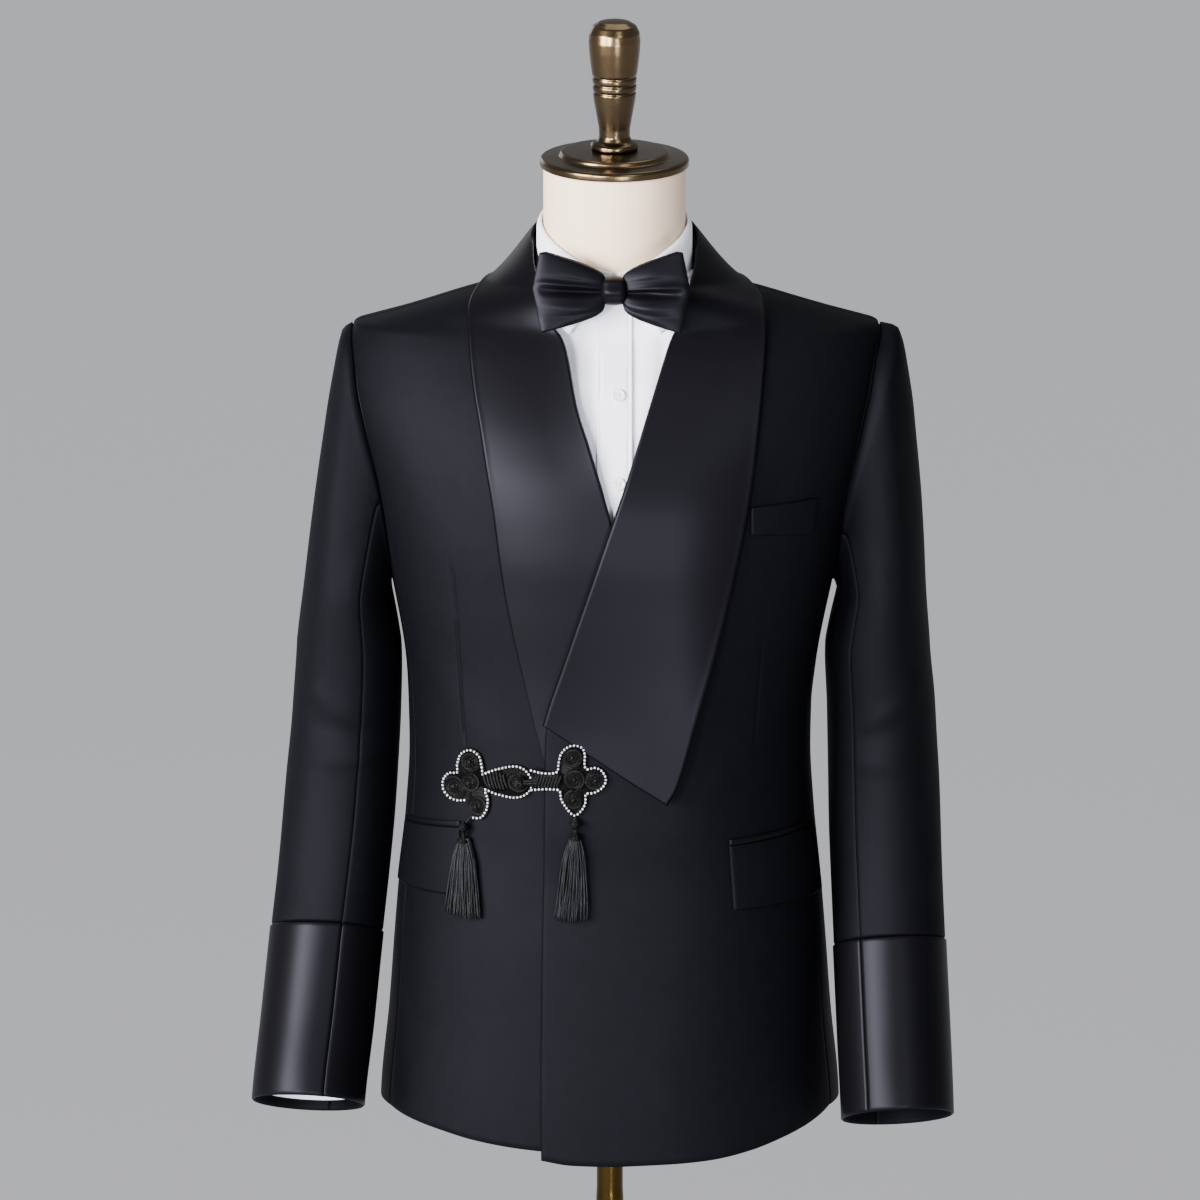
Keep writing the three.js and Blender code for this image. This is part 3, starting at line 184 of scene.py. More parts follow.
# angle of the side point at a depth y
def angleAtSide(y, h):
    depth = np.where(np.asarray(y) < 0, bodyTable["front"](h), bodyTable["back"](h))
    return np.arcsin(power(y / depth, bodyTable["fullness"](h) / 2))


# the armhole seen from the side is an egg walked from its top round the front
def onArmhole(turn, less=0, topLess=None):
    high = armhole["height"] + armhole["halfHeight"] - (less if topLess is None else topLess)
    low = armhole["height"] - armhole["halfHeight"] + less
    h = (high + low) / 2 + (high - low) / 2 * np.cos(turn)
    depth = np.where(np.sin(turn) > 0, armhole["front"], armhole["back"])
    return angleAtSide(-(depth - less) * np.sin(turn), h), h


# distance off the body along its own slope, from the superellipse's level value
def pushedOut(p, clear):
    def level(x, y, z):
        h = z - chestLine
        n = bodyTable["fullness"](h)
        depth = np.where(y < 0, bodyTable["front"](h), bodyTable["back"](h))
        across = np.abs(x - bodyTable["shift"](h)) / bodyTable["halfWidth"](h)
        return (across**n + np.abs(y / depth) ** n) ** (1 / n)

    p = p.copy()
    for _ in range(6):
        x, y, z = np.moveaxis(p, -1, 0)
        slope = np.stack([
            level(x + 0.5, y, z) - level(x - 0.5, y, z),
            level(x, y + 0.5, z) - level(x, y - 0.5, z),
            level(x, y, z + 0.5) - level(x, y, z - 0.5),
        ], -1)
        size = np.linalg.norm(slope, axis=-1)
        short = np.maximum(clear - (level(x, y, z) - 1) / size, 0)
        p += slope / size[..., None] * short[..., None]
    return p


# an edge through (angle, height) points, read by its real length on the body
def edge(side, points):
    u, h = np.array([(float(a), float(b)) for a, b in points]).T
    length = np.concatenate([[0], np.cumsum(np.linalg.norm(np.diff(onBody(side, u, h), axis=0),
                                                           axis=-1))])
    keep = np.concatenate([[True], np.diff(length) > 1e-6])
    length, u, h = length[keep] / length[-1], u[keep], h[keep]
    return (curve(length, u), curve(length, h), length)


# a patch between four edges: the sum of both ruled sheets less the one through the corners (a Coons patch)
def coons(edges, across, up):
    s, v = across[None, :], up[:, None]
    result = []
    for k in (0, 1):
        bottom, top = edges["bottom"][k](s), edges["top"][k](s)
        start, end = edges["left"][k](v), edges["right"][k](v)
        c = [edges["left"][k](0.0), edges["right"][k](0.0), edges["left"][k](1.0), edges["right"][k](1.0)]
        ruled = (1 - v) * bottom + v * top + (1 - s) * start + s * end
        result.append(ruled - (1 - v) * ((1 - s) * c[0] + s * c[1]) - v * ((1 - s) * c[2] + s * c[3]))
    return result


# a straight edge in angle and height
def straight(a, b):
    return (lambda t: mix(a[0], b[0], t), lambda t: mix(a[1], b[1], t))


# Meshes

# unit normals of a grid from its neighbours; closed grids wrap across their columns
def gridNormals(grid, closed=False):
    if closed:
        across = np.roll(grid, -1, 1) - np.roll(grid, 1, 1)
    else:
        across = np.gradient(grid, axis=1)
    return unit(np.cross(across, np.gradient(grid, axis=0)))


# the grid moved along its normals, which are turned to look along the given direction first
def moved(grid, facing, distance, closed=False):
    normals = gridNormals(grid, closed)
    i, j = grid.shape[0] // 2, grid.shape[1] // 2
    way = np.sign(np.dot(normals[i, j], facing(grid)[i, j]))
    return grid + normals * way * np.broadcast_to(np.asarray(distance, float), grid.shape[:2])[..., None]


# level direction from the neck's axis to each point
def fromAxis(p):
    return unit(np.stack([p[..., 0] - neck["x"], p[..., 1] - neck["y"], 0 * p[..., 0]], -1))


# each inner point becomes the average of its four neighbours; the rim stays
def relaxed(grid, rounds):
    grid = grid.copy()
    for _ in range(rounds):
        grid[1:-1, 1:-1] = (grid[2:, 1:-1] + grid[:-2, 1:-1] + grid[1:-1, 2:] + grid[1:-1, :-2]) / 4
    return grid


# real lengths along a grid's columns and rows, in metres, for a weave that follows the cloth
def weavePlaces(grid, closed):
    if closed:
        grid = np.concatenate([grid, grid[:, :1]], 1)
    across = np.linalg.norm(np.diff(grid, axis=1), axis=-1)
    up = np.linalg.norm(np.diff(grid, axis=0), axis=-1)
    u = np.concatenate([np.zeros((grid.shape[0], 1)), np.cumsum(across, 1)], 1)
    v = np.concatenate([np.zeros((1, grid.shape[1])), np.cumsum(up, 0)], 0)
    return np.stack([u, v], -1) * 0.001


# millimetre points and faces as a smooth object with its materials and weave places
def newMesh(name, points, faces, materials, places=None, kinds=None):
    mesh = bpy.data.meshes.new(name)
    mesh.from_pydata((points * 0.001).tolist(), [], faces)
    if places is not None:
        layer = mesh.uv_layers.new(name="weave")
        layer.uv.foreach_set("vector", np.asarray(places, np.float32).ravel())
    mesh.shade_smooth()
    for material in materials:
        mesh.materials.append(material)
    if kinds is not None:
        mesh.polygons.foreach_set("material_index", np.asarray(kinds, np.int32))
    mesh.update()
    piece = bpy.data.objects.new(name, mesh)
    bpy.context.scene.collection.objects.link(piece)
    return piece


# quads of a grid as corner numbers, and the grid places of the same corners
def gridQuads(rows, width, closed=False):
    i, j = np.meshgrid(np.arange(rows - 1), np.arange(width if closed else width - 1), indexing="ij")
    i, j = i.ravel(), j.ravel()
    corners = [(i, j), (i, j + 1), (i + 1, j + 1), (i + 1, j)]
    numbers = np.stack([a * width + b % width for a, b in corners], -1)
    return numbers, (np.stack([a for a, _ in corners], -1), np.stack([b for _, b in corners], -1))


# true where the signed volume of the faces is above nought
def facesOutwards(points, quads):
    a, b, c, d = (points[quads[:, k]] for k in range(4))
    return np.sum(np.einsum("ij,ij->i", a, np.cross(b, c)) + np.einsum("ij,ij->i", a, np.cross(c, d))) > 0


# a closed cloth wall: outer and inner grids that meet half way at their rim, which rounds the cut edge
def wall(name, outer, inner, materials, closed=False):
    rows, width = outer.shape[:2]
    rim = np.zeros((rows, width), bool)
    rim[[0, -1]] = True
    if not closed:
        rim[:, [0, -1]] = True
    middle = (outer + inner) / 2
    points = np.concatenate([np.where(rim[..., None], middle, outer).reshape(-1, 3),
                             inner.reshape(-1, 3)])
    number = np.concatenate([np.arange(rows * width), np.arange(rows * width) + rows * width])
    number[rows * width:][rim.ravel()] = np.arange(rows * width)[rim.ravel()]
    quads, (i, j) = gridQuads(rows, width, closed)
    inside = number[quads + rows * width][:, ::-1]
    places = weavePlaces(outer, closed)
    loops = np.concatenate([places[i, j], places[i[:, ::-1], j[:, ::-1]]])
    faces = np.concatenate([quads, inside])
    if not facesOutwards(points, faces):
        faces, loops = faces[:, ::-1], loops[:, ::-1]
    used, compact = np.unique(faces, return_inverse=True)
    kinds = np.repeat([0, len(materials) - 1], len(quads))
    piece = newMesh(name, points[used], compact.reshape(faces.shape).tolist(), materials,
                    loops.reshape(-1, 2), kinds)
    step = np.linalg.norm(np.cross(np.gradient(middle, axis=0), np.gradient(middle, axis=1)), axis=-1)
    size = [float(np.max(np.ptp(places[..., k], axis=1 - k))) for k in (0, 1)]
    return piece, size, float(step.sum()) * 1e-6


# a closed body: rings of one width, with a middle point at each end
def ringBody(rings):
    rows, width = rings.shape[:2]
    quads, (i, j) = gridQuads(rows, width, True)
    ends = rings[[0, -1]].mean(axis=1)
    points = np.concatenate([rings.reshape(-1, 3), ends])
    k = np.arange(width)
    low = np.stack([np.full(width, rows * width), (k + 1) % width, k], -1)
    high = np.stack([np.full(width, rows * width + 1), (rows - 1) * width + k,
                     (rows - 1) * width + (k + 1) % width], -1)
    faces = np.concatenate([quads, np.pad(low, ((0, 0), (0, 1)), mode="edge"),
                            np.pad(high, ((0, 0), (0, 1)), mode="edge")])
    if not facesOutwards(points, faces):
        quads, low, high = quads[:, ::-1], low[:, ::-1], high[:, ::-1]
        i, j = i[:, ::-1], j[:, ::-1]
    places = weavePlaces(rings, True)
    loops = [places[i, j].reshape(-1, 2), np.zeros((width * 6, 2))]
    return points, quads.tolist() + low.tolist() + high.tolist(), np.concatenate(loops)


# many closed bodies in one mesh
def gathered(name, bodies, materials, kinds=None):
    points, faces, loops, finishes, start = [], [], [], [], 0
    for number, (p, f, l) in enumerate(bodies):
        points.append(p)
        faces += [[n + start for n in face] for face in f]
        loops.append(l)
        finishes += [kinds[number] if kinds else 0] * len(f)
        start += len(p)
    return newMesh(name, np.concatenate(points), faces, materials, np.concatenate(loops), finishes)


# a round cord along a path: circles in the plane of the path's normal and its side
def cordBody(path, normals, radius, around=8):
    ahead = unit(np.gradient(path, axis=0))
    across = unit(np.cross(ahead, normals))
    lift = unit(np.cross(across, ahead))
    a = np.linspace(0, tau, around, endpoint=False)
    size = np.broadcast_to(np.asarray(radius, float), len(path))[:, None, None]
    ring = np.cos(a)[None, :, None] * across[:, None] + np.sin(a)[None, :, None] * lift[:, None]
    return ringBody(path[:, None] + size * ring)


# the same cord joined end to end, as a band of quads
def loopBody(path, normals, radius, around=8):
    ahead = unit(np.roll(path, -1, 0) - np.roll(path, 1, 0))
    across = unit(np.cross(ahead, normals))
    lift = unit(np.cross(across, ahead))
    a = np.linspace(0, tau, around, endpoint=False)
    rings = path[:, None] + radius * (np.cos(a)[None, :, None] * across[:, None]
                                      + np.sin(a)[None, :, None] * lift[:, None])
    closedRings = np.concatenate([rings, rings[:1]])
    quads, (i, j) = gridQuads(len(path) + 1, around, True)
    faces = quads % (len(path) * around)
    if not facesOutwards(rings.reshape(-1, 3), faces):
        faces, i, j = faces[:, ::-1], i[:, ::-1], j[:, ::-1]
    return rings.reshape(-1, 3), faces.tolist(), weavePlaces(closedRings, True)[i, j].reshape(-1, 2)


# rings of (radius, rise) about an upright axis, leaning about X, with its foot at a place
def turnedRings(profile, foot, lean=0.0, around=96):
    radius, rise = np.array(profile, float).T
    a = np.linspace(0, tau, around, endpoint=False)
    x, y = radius[:, None] * np.cos(a), radius[:, None] * np.sin(a)
    z = np.broadcast_to(rise[:, None], x.shape)
    turned = np.stack([x, y * np.cos(lean) - z * np.sin(lean), y * np.sin(lean) + z * np.cos(lean)], -1)
    return turned + np.asarray(foot, float)


# profile points spaced along straight runs and rounded where they turn
def softProfile(profile, spacing=0.8, rounds=3):
    p = np.array(profile, float)
    length = np.concatenate([[0], np.cumsum(np.linalg.norm(np.diff(p, axis=0), axis=-1))])
    at = np.linspace(0, length[-1], int(length[-1] / spacing) + 2)
    p = np.stack([np.interp(at, length, p[:, k]) for k in (0, 1)], -1)
    for _ in range(rounds):
        p[1:-1] = (p[:-2] + 2 * p[1:-1] + p[2:]) / 4
    return p


# small beads: one low sphere, repeated at many places and turned to their normals
def beadBodies(places, radius, rings=5, around=7):
    a = np.linspace(0, tau, around, endpoint=False)
    polar = np.linspace(0.25, np.pi - 0.25, rings)
    ball = np.stack([
        np.sin(polar)[:, None] * np.cos(a), np.sin(polar)[:, None] * np.sin(a),
        np.broadcast_to(np.cos(polar)[:, None], (rings, around)),
    ], -1)
    return [ringBody(place + ball * radius) for place in places]


# Materials

# one shader with its constants set on its own sockets
def newMaterial(name, color, roughness, metallic=0.0, sheen=0.0, coat=0.0, specular=0.5, tint=(1, 1, 1)):
    material = bpy.data.materials.new(name)
    material.use_nodes = True
    shader = material.node_tree.nodes["Principled BSDF"]
    values = {
        "Base Color": (*color, 1), "Roughness": roughness, "Metallic": metallic, "Sheen Weight": sheen,
        "Sheen Roughness": 0.45, "Coat Weight": coat, "Coat Roughness": 0.15,
        "Specular IOR Level": specular,
        "Specular Tint": (*tint, 1),
    }
    for socket, value in values.items():
        shader.inputs[socket].default_value = value
    return material


# a shader node with its settings or socket values
def addNode(material, kind, **values):
    node = material.node_tree.nodes.new(kind)
    for key, value in values.items():
        if hasattr(node, key):
            setattr(node, key, value)
        else:
            node.inputs[key].default_value = value
    return node


# a link between two sockets
def join(material, start, end):
    material.node_tree.links.new(start, end)


# places on the piece, or on its weave, scaled and turned
def mapped(material, fromPiece=True, scale=1.0, angle=0.0, stretch=(1, 1, 1)):
    places = addNode(material, "ShaderNodeTexCoord")
    mapping = addNode(material, "ShaderNodeMapping")
    mapping.inputs["Scale"].default_value = tuple(scale * s for s in stretch)
    mapping.inputs["Rotation"].default_value = (0, 0, angle)
    join(material, places.outputs["Object" if fromPiece else "UV"], mapping.inputs["Vector"])
    return mapping.outputs["Vector"]


# colour that wanders between two tones; on the tassel threads the lighter one is a painted highlight
def mottled(material, color, other, scale, detail=4.0, stretch=(1, 1, 1), fromPiece=True):
    noise = addNode(material, "ShaderNodeTexNoise", Scale=scale, Detail=detail)
    join(material, mapped(material, fromPiece, stretch=stretch), noise.inputs["Vector"])
    ramp = addNode(material, "ShaderNodeValToRGB")
    ramp.color_ramp.elements[0].position, ramp.color_ramp.elements[1].position = 0.35, 0.65
    ramp.color_ramp.elements[0].color, ramp.color_ramp.elements[1].color = (*color, 1), (*other, 1)
    join(material, noise.outputs["Fac"], ramp.inputs["Fac"])
    join(material, ramp.outputs["Color"],
         material.node_tree.nodes["Principled BSDF"].inputs["Base Color"])


# bands of a weave: (turn in degrees, spacing in millimetres, share) for each set, plus loose fibres
def woven(material, bands, fibre, fibreShare, depth, strength):
    heights = []
    for angle, spacing, share in bands:
        wave = addNode(material, "ShaderNodeTexWave", Scale=tau / 20 / (spacing * 0.001))
        wave.wave_type, wave.bands_direction = "BANDS", "X"
        wave.inputs["Distortion"].default_value = 0.6
        wave.inputs["Detail Scale"].default_value = 2.0
        join(material, mapped(material, False, angle=angle * degree), wave.inputs["Vector"])
        heights.append((wave.outputs["Fac"], share))
    noise = addNode(material, "ShaderNodeTexNoise", Scale=1000 / fibre, Detail=3.0)
    join(material, mapped(material, False), noise.inputs["Vector"])
    heights.append((noise.outputs["Fac"], fibreShare))
    total = None
    for socket, share in heights:
        scaled = addNode(material, "ShaderNodeMath", operation="MULTIPLY")
        scaled.inputs[1].default_value = share
        join(material, socket, scaled.inputs[0])
        if total is None:
            total = scaled.outputs[0]
            continue
        summed = addNode(material, "ShaderNodeMath", operation="ADD")
        join(material, total, summed.inputs[0])
        join(material, scaled.outputs[0], summed.inputs[1])
        total = summed.outputs[0]
    bump = addNode(material, "ShaderNodeBump", Strength=strength, Distance=depth * 0.001)
    join(material, total, bump.inputs["Height"])
    join(material, bump.outputs["Normal"], material.node_tree.nodes["Principled BSDF"].inputs["Normal"])


finishes = {
    "wool": {"color": (0.0014, 0.0015, 0.0022), "tone_and_painted_highlight": (0.0018, 0.0019, 0.0028), "roughness": 0.6,
             "specular": 0.08,
             "tint": (0.80, 0.82, 1.0)},
    "satin": {"color": (0.0017, 0.0017, 0.0023), "tone_and_painted_highlight": (0.0022, 0.0021, 0.0029), "roughness": 0.42,
              "specular": 0.112,
              "tint": (0.80, 0.79, 1.0)},
    "lining": {"color": (0.003, 0.003, 0.004), "roughness": 0.42, "specular": 0.15},
    "cotton": {"color": (0.88, 0.89, 0.98), "tone_and_painted_highlight": (0.85, 0.86, 0.96), "roughness": 0.8, "sheen": 0.1},
    "braid": {"color": (0.0010, 0.0010, 0.0012), "tone_and_painted_highlight": (0.0030, 0.0030, 0.0036), "roughness": 0.36,
              "specular": 0.14},
    # the threads' second tone is a painted highlight: light streaks that stand in for their shine
    "thread": {"color": (0.0008, 0.0009, 0.0013), "tone_and_painted_highlight": (0.015, 0.016, 0.020), "roughness": 0.36,
               "specular": 0.2},
    "bead": {"color": (0.72, 0.73, 0.75), "tone_and_painted_highlight": (0.30, 0.31, 0.34), "roughness": 0.12, "coat": 0.6},
    "pearl": {"color": (0.86, 0.86, 0.87), "tone_and_painted_highlight": (0.76, 0.76, 0.8), "roughness": 0.22, "coat": 0.5},
    "jersey": {"color": (0.84, 0.64, 0.485), "tone_and_painted_highlight": (0.80, 0.595, 0.44), "roughness": 0.72,
               "sheen": 0.1},
    "brass": {"color": (0.17, 0.117, 0.063), "tone_and_painted_highlight": (0.105, 0.073, 0.042), "roughness": 0.23,
              "metallic": 1.0},
    "pole": {"color": (0.085, 0.052, 0.014), "tone_and_painted_highlight": (0.065, 0.040, 0.011), "roughness": 0.22,
             "metallic": 1.0},
}


# the plain material of a named finish
def finishOf(name):
    values = finishes[name]
    return newMaterial(
        name, values["color"], values["roughness"], values.get("metallic", 0.0),
        values.get("sheen", 0.0), values.get("coat", 0.0), values.get("specular", 0.5),
        values.get("tint", (1, 1, 1)),
    )


# worsted wool: a fine diagonal twill and loose fibres
wool = finishOf("wool")
mottled(wool, finishes["wool"]["color"], finishes["wool"]["tone_and_painted_highlight"], 90)
woven(wool, [(45, 0.9, 1.0), (-45, 1.3, 0.35)], 0.7, 0.9, 0.10, 0.5)
# faced satin: long floats across the cloth that break its shine a little
satin = finishOf("satin")
mottled(satin, finishes["satin"]["color"], finishes["satin"]["tone_and_painted_highlight"], 14, stretch=(1, 1, 0.25))
woven(satin, [(90, 0.45, 0.6), (12, 0.8, 0.25)], 1.1, 0.5, 0.035, 0.35)
lining = finishOf("lining")
woven(lining, [(0, 0.5, 1.0), (90, 0.5, 0.6)], 1.5, 0.6, 0.05, 0.4)
# poplin: close threads both ways
cotton = finishOf("cotton")
mottled(cotton, finishes["cotton"]["color"], finishes["cotton"]["tone_and_painted_highlight"], 22)
woven(cotton, [(0, 0.42, 0.8), (90, 0.5, 0.8)], 1.2, 0.6, 0.06, 0.4)
# coiled braid: ribs that slant along its cord
braid = finishOf("braid")
mottled(braid, finishes["braid"]["color"], finishes["braid"]["tone_and_painted_highlight"], 600)
woven(braid, [(52, 1.1, 1.0), (-52, 1.1, 0.6)], 0.5, 0.5, 0.22, 0.9)
# tassel threads: the lighter tone, stretched along each thread, is painted highlight streaks for the
# threads' broken shine
thread = finishOf("thread")
mottled(thread, finishes["thread"]["color"], finishes["thread"]["tone_and_painted_highlight"], 520, stretch=(1, 1, 0.12))
woven(thread, [(58, 0.8, 1.0)], 0.5, 0.5, 0.2, 0.9)
bead = finishOf("bead")
mottled(bead, finishes["bead"]["color"], finishes["bead"]["tone_and_painted_highlight"], 500)
pearl = finishOf("pearl")
mottled(pearl, finishes["pearl"]["color"], finishes["pearl"]["tone_and_painted_highlight"], 160)
# jersey stretched on the form: fine wales
jersey = finishOf("jersey")
mottled(jersey, finishes["jersey"]["color"], finishes["jersey"]["tone_and_painted_highlight"], 9)
woven(jersey, [(0, 0.9, 1.0), (90, 0.7, 0.4)], 1.0, 0.6, 0.07, 0.35)
# metals darken in patches and keep fine turning marks
for metalName in ("brass", "pole"):
    metal = finishOf(metalName)
    mottled(metal, finishes[metalName]["color"], finishes[metalName]["tone_and_painted_highlight"], 26, detail=6.0)
    woven(metal, [(90, 0.35, 0.6)], 3.0, 0.8, 0.03, 0.3)
brass, pole = bpy.data.materials["brass"], bpy.data.materials["pole"]
print("materials ready")


# A finished piece stands for its solid: it hangs under the root and the solid is hidden
def settle(piece, slotName, *nodes):
    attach(piece, "root")
    if nodes:
        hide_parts(*nodes)
    return piece


# a cloth wall with its flat size measured along the grid
def clothPiece(name, outer, inner, materials, slotName, nodes, held, rests, closed=False):
    piece, (width, length), area = wall(name, outer, inner, materials, closed)
    settle(piece, slotName, *nodes)
    width, length = (max(round(value, 3), 0.01) for value in (width, length))
    return piece


# Jacket panels

seamTable = columns("front back", [(-460, -52, 60), (-118, -41, 44), (43, -35.4, 32.1)])
frontEdges = {
    "left": [(-55.5, -437), (-55.8, -390), (-55.7, -343), (-55, -294), (-54.3, -245), (-53, -194),
             (-52, -144), (-51.5, -110),
             (-50, -76), (-41, -47), (-25, 4), (-6, 60), (12, 111), (22, 142), (37, 188), (52, 231),
             (60, 246), (68, 259)],
    "right": [(-52, -431), (-52, -390), (-52, -343), (-52, -294), (-52, -245), (-52, -194), (-52, -144),
              (-51, -110),
              (-49, -76), (-38, -47), (-26, 4), (-9, 56), (7, 111), (16, 142), (32, 188), (39, 228),
              (50, 246), (58, 259)],
}
frontHems = {
    "left": [(-55.5, -437), (-31, -440.4), (0, -441), (27, -440.3), (55, -439.6), (82, -438.4),
             (116, -434), (142, -428)],
    "right": [(-52, -431), (-26, -431.5), (0, -431.5), (31, -431), (57, -430), (80, -428.5), (114, -425),
              (140, -421)],
}
jacket = {"sideHem": -415, "backHem": -413, "foldDepth": 1.0, "dartDepth": 1.9,
          "dartShare": {"left": 0.3, "right": 1.0}, "dartWidth": 1.0}
# soft creases as (x, height) to (x, height), width and depth; x is towards the panel's own side
frontCreases = {
    "left": [((60, -150), (150, -60), 16, 0.9), ((-30, -175), (60, -260), 22, -0.8),
             ((120, 60), (150, 160), 14, -0.8),
             ((150, -250), (158, -410), 15, 0.9), ((40, -330), (52, -430), 18, 0.6)],
    "right": [((90, -105), (152, -30), 15, 0.9), ((100, -170), (60, -250), 20, -0.8),
              ((122, 80), (150, 160), 15, -0.9),
              ((152, -240), (160, -400), 15, 0.9), ((20, -320), (28, -420), 20, 0.6)],
}
darts = {"left": [(128, 40), (122, -20), (116, -99)], "right": [(129, 55.5), (123, -20), (117.5, -99)]}


# distance to a line, turned into a bell across it that fades at its ends
def bells(x, h, creases):
    total = np.zeros(np.broadcast(x, h).shape)
    for (x0, h0), (x1, h1), width, depth in creases:
        run = np.array([x1 - x0, h1 - h0], float)
        along = ((x - x0) * run[0] + (h - h0) * run[1]) / (run @ run)
        off = ((x - x0) * run[1] - (h - h0) * run[0]) / np.linalg.norm(run)
        total = total + depth * np.exp(-((off / width) ** 2)) * (
            smooth(-0.15, 0.3, along)) * (1 - smooth(0.7, 1.15, along))
    return total


# a side seam from the hem up, then the armhole to the shoulder
def seamAndArmhole(name, hem, startTurn, endTurn):
    seamTop = float(onArmhole(startTurn)[1])
    h = np.linspace(hem, seamTop, 13)
    turn = np.linspace(startTurn, endTurn, 17)[1:]
    u, hole = onArmhole(turn)
    return list(zip(angleAtSide(seamTable[name](h), h), h)) + list(zip(u, hole))


# the left front stands out where it covers the right front and the right lapel
def lap(x, h):
    stack = mix(3.4, 6.6, smooth(-215, -160, h))
    return stack * (1 - smooth(50, 140, x)) * (1 - smooth(95, 180, h))


# only the left front laps over
def lapOf(side, x, h):
    return lap(x, h) if side == "left" else 0 * x


# both faces of a body panel: the patch moved out by its layer and creases, drawn back at the seams
def panelFaces(side, edges, across, up, out, thickness):
    u, h = coons(edges, across, up)
    base = onBody(side, u, h)
    normals = bodyNormal(side, u, h)
    lift = out(base[..., 0], h) if callable(out) else np.full(h.shape, float(out))
    outer, inner = base + normals * lift[..., None], base + normals * (lift - thickness)[..., None]
    return drawnBack(outer), drawnBack(inner)


# every rim point moves in by the seam gap, or out to meet its neighbour where the gap is below nought
def drawnBack(grid):
    grid = grid.copy()
    for j, inside in ((0, 1), (-1, -2)):
        grid[:, j] += unit(grid[:, inside] - grid[:, j]) * cloth["seam"]
    for i, inside in ((0, 1), (-1, -2)):
        grid[i] += unit(grid[inside] - grid[i]) * cloth["seam"]
    return grid


for side in sides:
    inFront = [(angleInFront(side, x, h), h) for x, h in frontEdges[side]]
    hemFront = [(angleInFront(side, x, h), h) for x, h in frontHems[side]]
    frontSide = seamAndArmhole("front", jacket["sideHem"], armhole["frontSeam"], 0)
    backSide = seamAndArmhole("back", jacket["sideHem"], armhole["backSeam"], tau)
    frontEdge = {
        "left": edge(side, inFront + [(0, shoulder["neckPoint"])]),
        "bottom": edge(side, hemFront + [frontSide[0]]),
        "right": edge(side, frontSide),
        "top": straight((0, shoulder["neckPoint"]), (0, shoulder["tip"])),
    }
    dartCurve = curve([h for _, h in darts[side]], [x for x, _ in darts[side]])

    # base layer, soft creases, and the dart as a narrow groove that fades at both ends
    def frontOut(x, h, side=side, dartCurve=dartCurve):
        own = sign[side] * x
        groove = np.exp(-(((own - dartCurve(h)) / jacket["dartWidth"]) ** 2))
        length = smooth(-101, -88, h) * (1 - smooth(darts[side][0][1] - 14, darts[side][0][1] + 2, h))
        length = length * jacket["dartShare"][side]
        drape = bells(own, h, frontCreases[side]) * jacket["foldDepth"] * smooth(-440, -390, h)
        return lapOf(side, x, h) + drape - jacket["dartDepth"] * groove * length

    across = steps(76, 230, [(0.665, 15, 52)])
    outer, inner = panelFaces(side, frontEdge, across, steps(170, 690), frontOut, cloth["wall"])
    clothPiece("jacket_front_" + side, outer, inner, [wool, lining], "jacket_wool", ["front_" + side],
               "draped", ["form_torso"])

    underEdge = {
        "left": edge(side, frontSide[:13]), "right": edge(side, backSide[:13]),
        "bottom": edge(side, [frontSide[0], (0, jacket["sideHem"] - 2), backSide[0]]),
        "top": edge(side, list(zip(*onArmhole(np.linspace(armhole["frontSeam"], armhole["backSeam"],
                                                          9))))),
    }
    outer, inner = panelFaces(side, underEdge, steps(30, 100), steps(110, 440), 0.0, cloth["wall"])
    clothPiece("jacket_side_" + side, outer, inner, [wool, lining], "jacket_wool", ["side_" + side],
               "draped", ["form_torso"])

    t = np.linspace(0, 1, 7)
    neckline = list(zip((1 - t) * 90 * degree, mix(shoulder["nape"], shoulder["neckPoint"], t)))
    topLine = neckline + [(0, h) for h in np.linspace(shoulder["neckPoint"], shoulder["tip"], 7)[1:]]
    backEdge = {
        "left": edge(side, [(90 * degree, h)
                            for h in np.linspace(jacket["backHem"], shoulder["nape"], 13)]),
        "bottom": edge(side, [(90 * degree, jacket["backHem"]), (70 * degree, jacket["backHem"]),
                              (45 * degree, jacket["sideHem"]), backSide[0]]),
        "right": edge(side, backSide), "top": edge(side, topLine),
    }
    backCreases = [((30, -95), (120, -70), 15, 0.9), ((40, -130), (130, -150), 16, -0.7),
                   ((110, 40), (140, 150), 15, -0.9),
                   ((60, -250), (80, -400), 20, 0.8), ((20, 200), (90, 215), 14, 0.7)]
    backOut = lambda x, h: bells(sign[side] * x, h, backCreases) * smooth(-413, -370, h)
    outer, inner = panelFaces(side, backEdge, steps(70, 220), steps(150, 690), backOut, cloth["wall"])
    clothPiece("jacket_back_" + side, outer, inner, [wool, lining], "jacket_wool", ["back_" + side],
               "draped", ["form_torso"])
print("jacket panels ready")


# Shawl lapels and collar

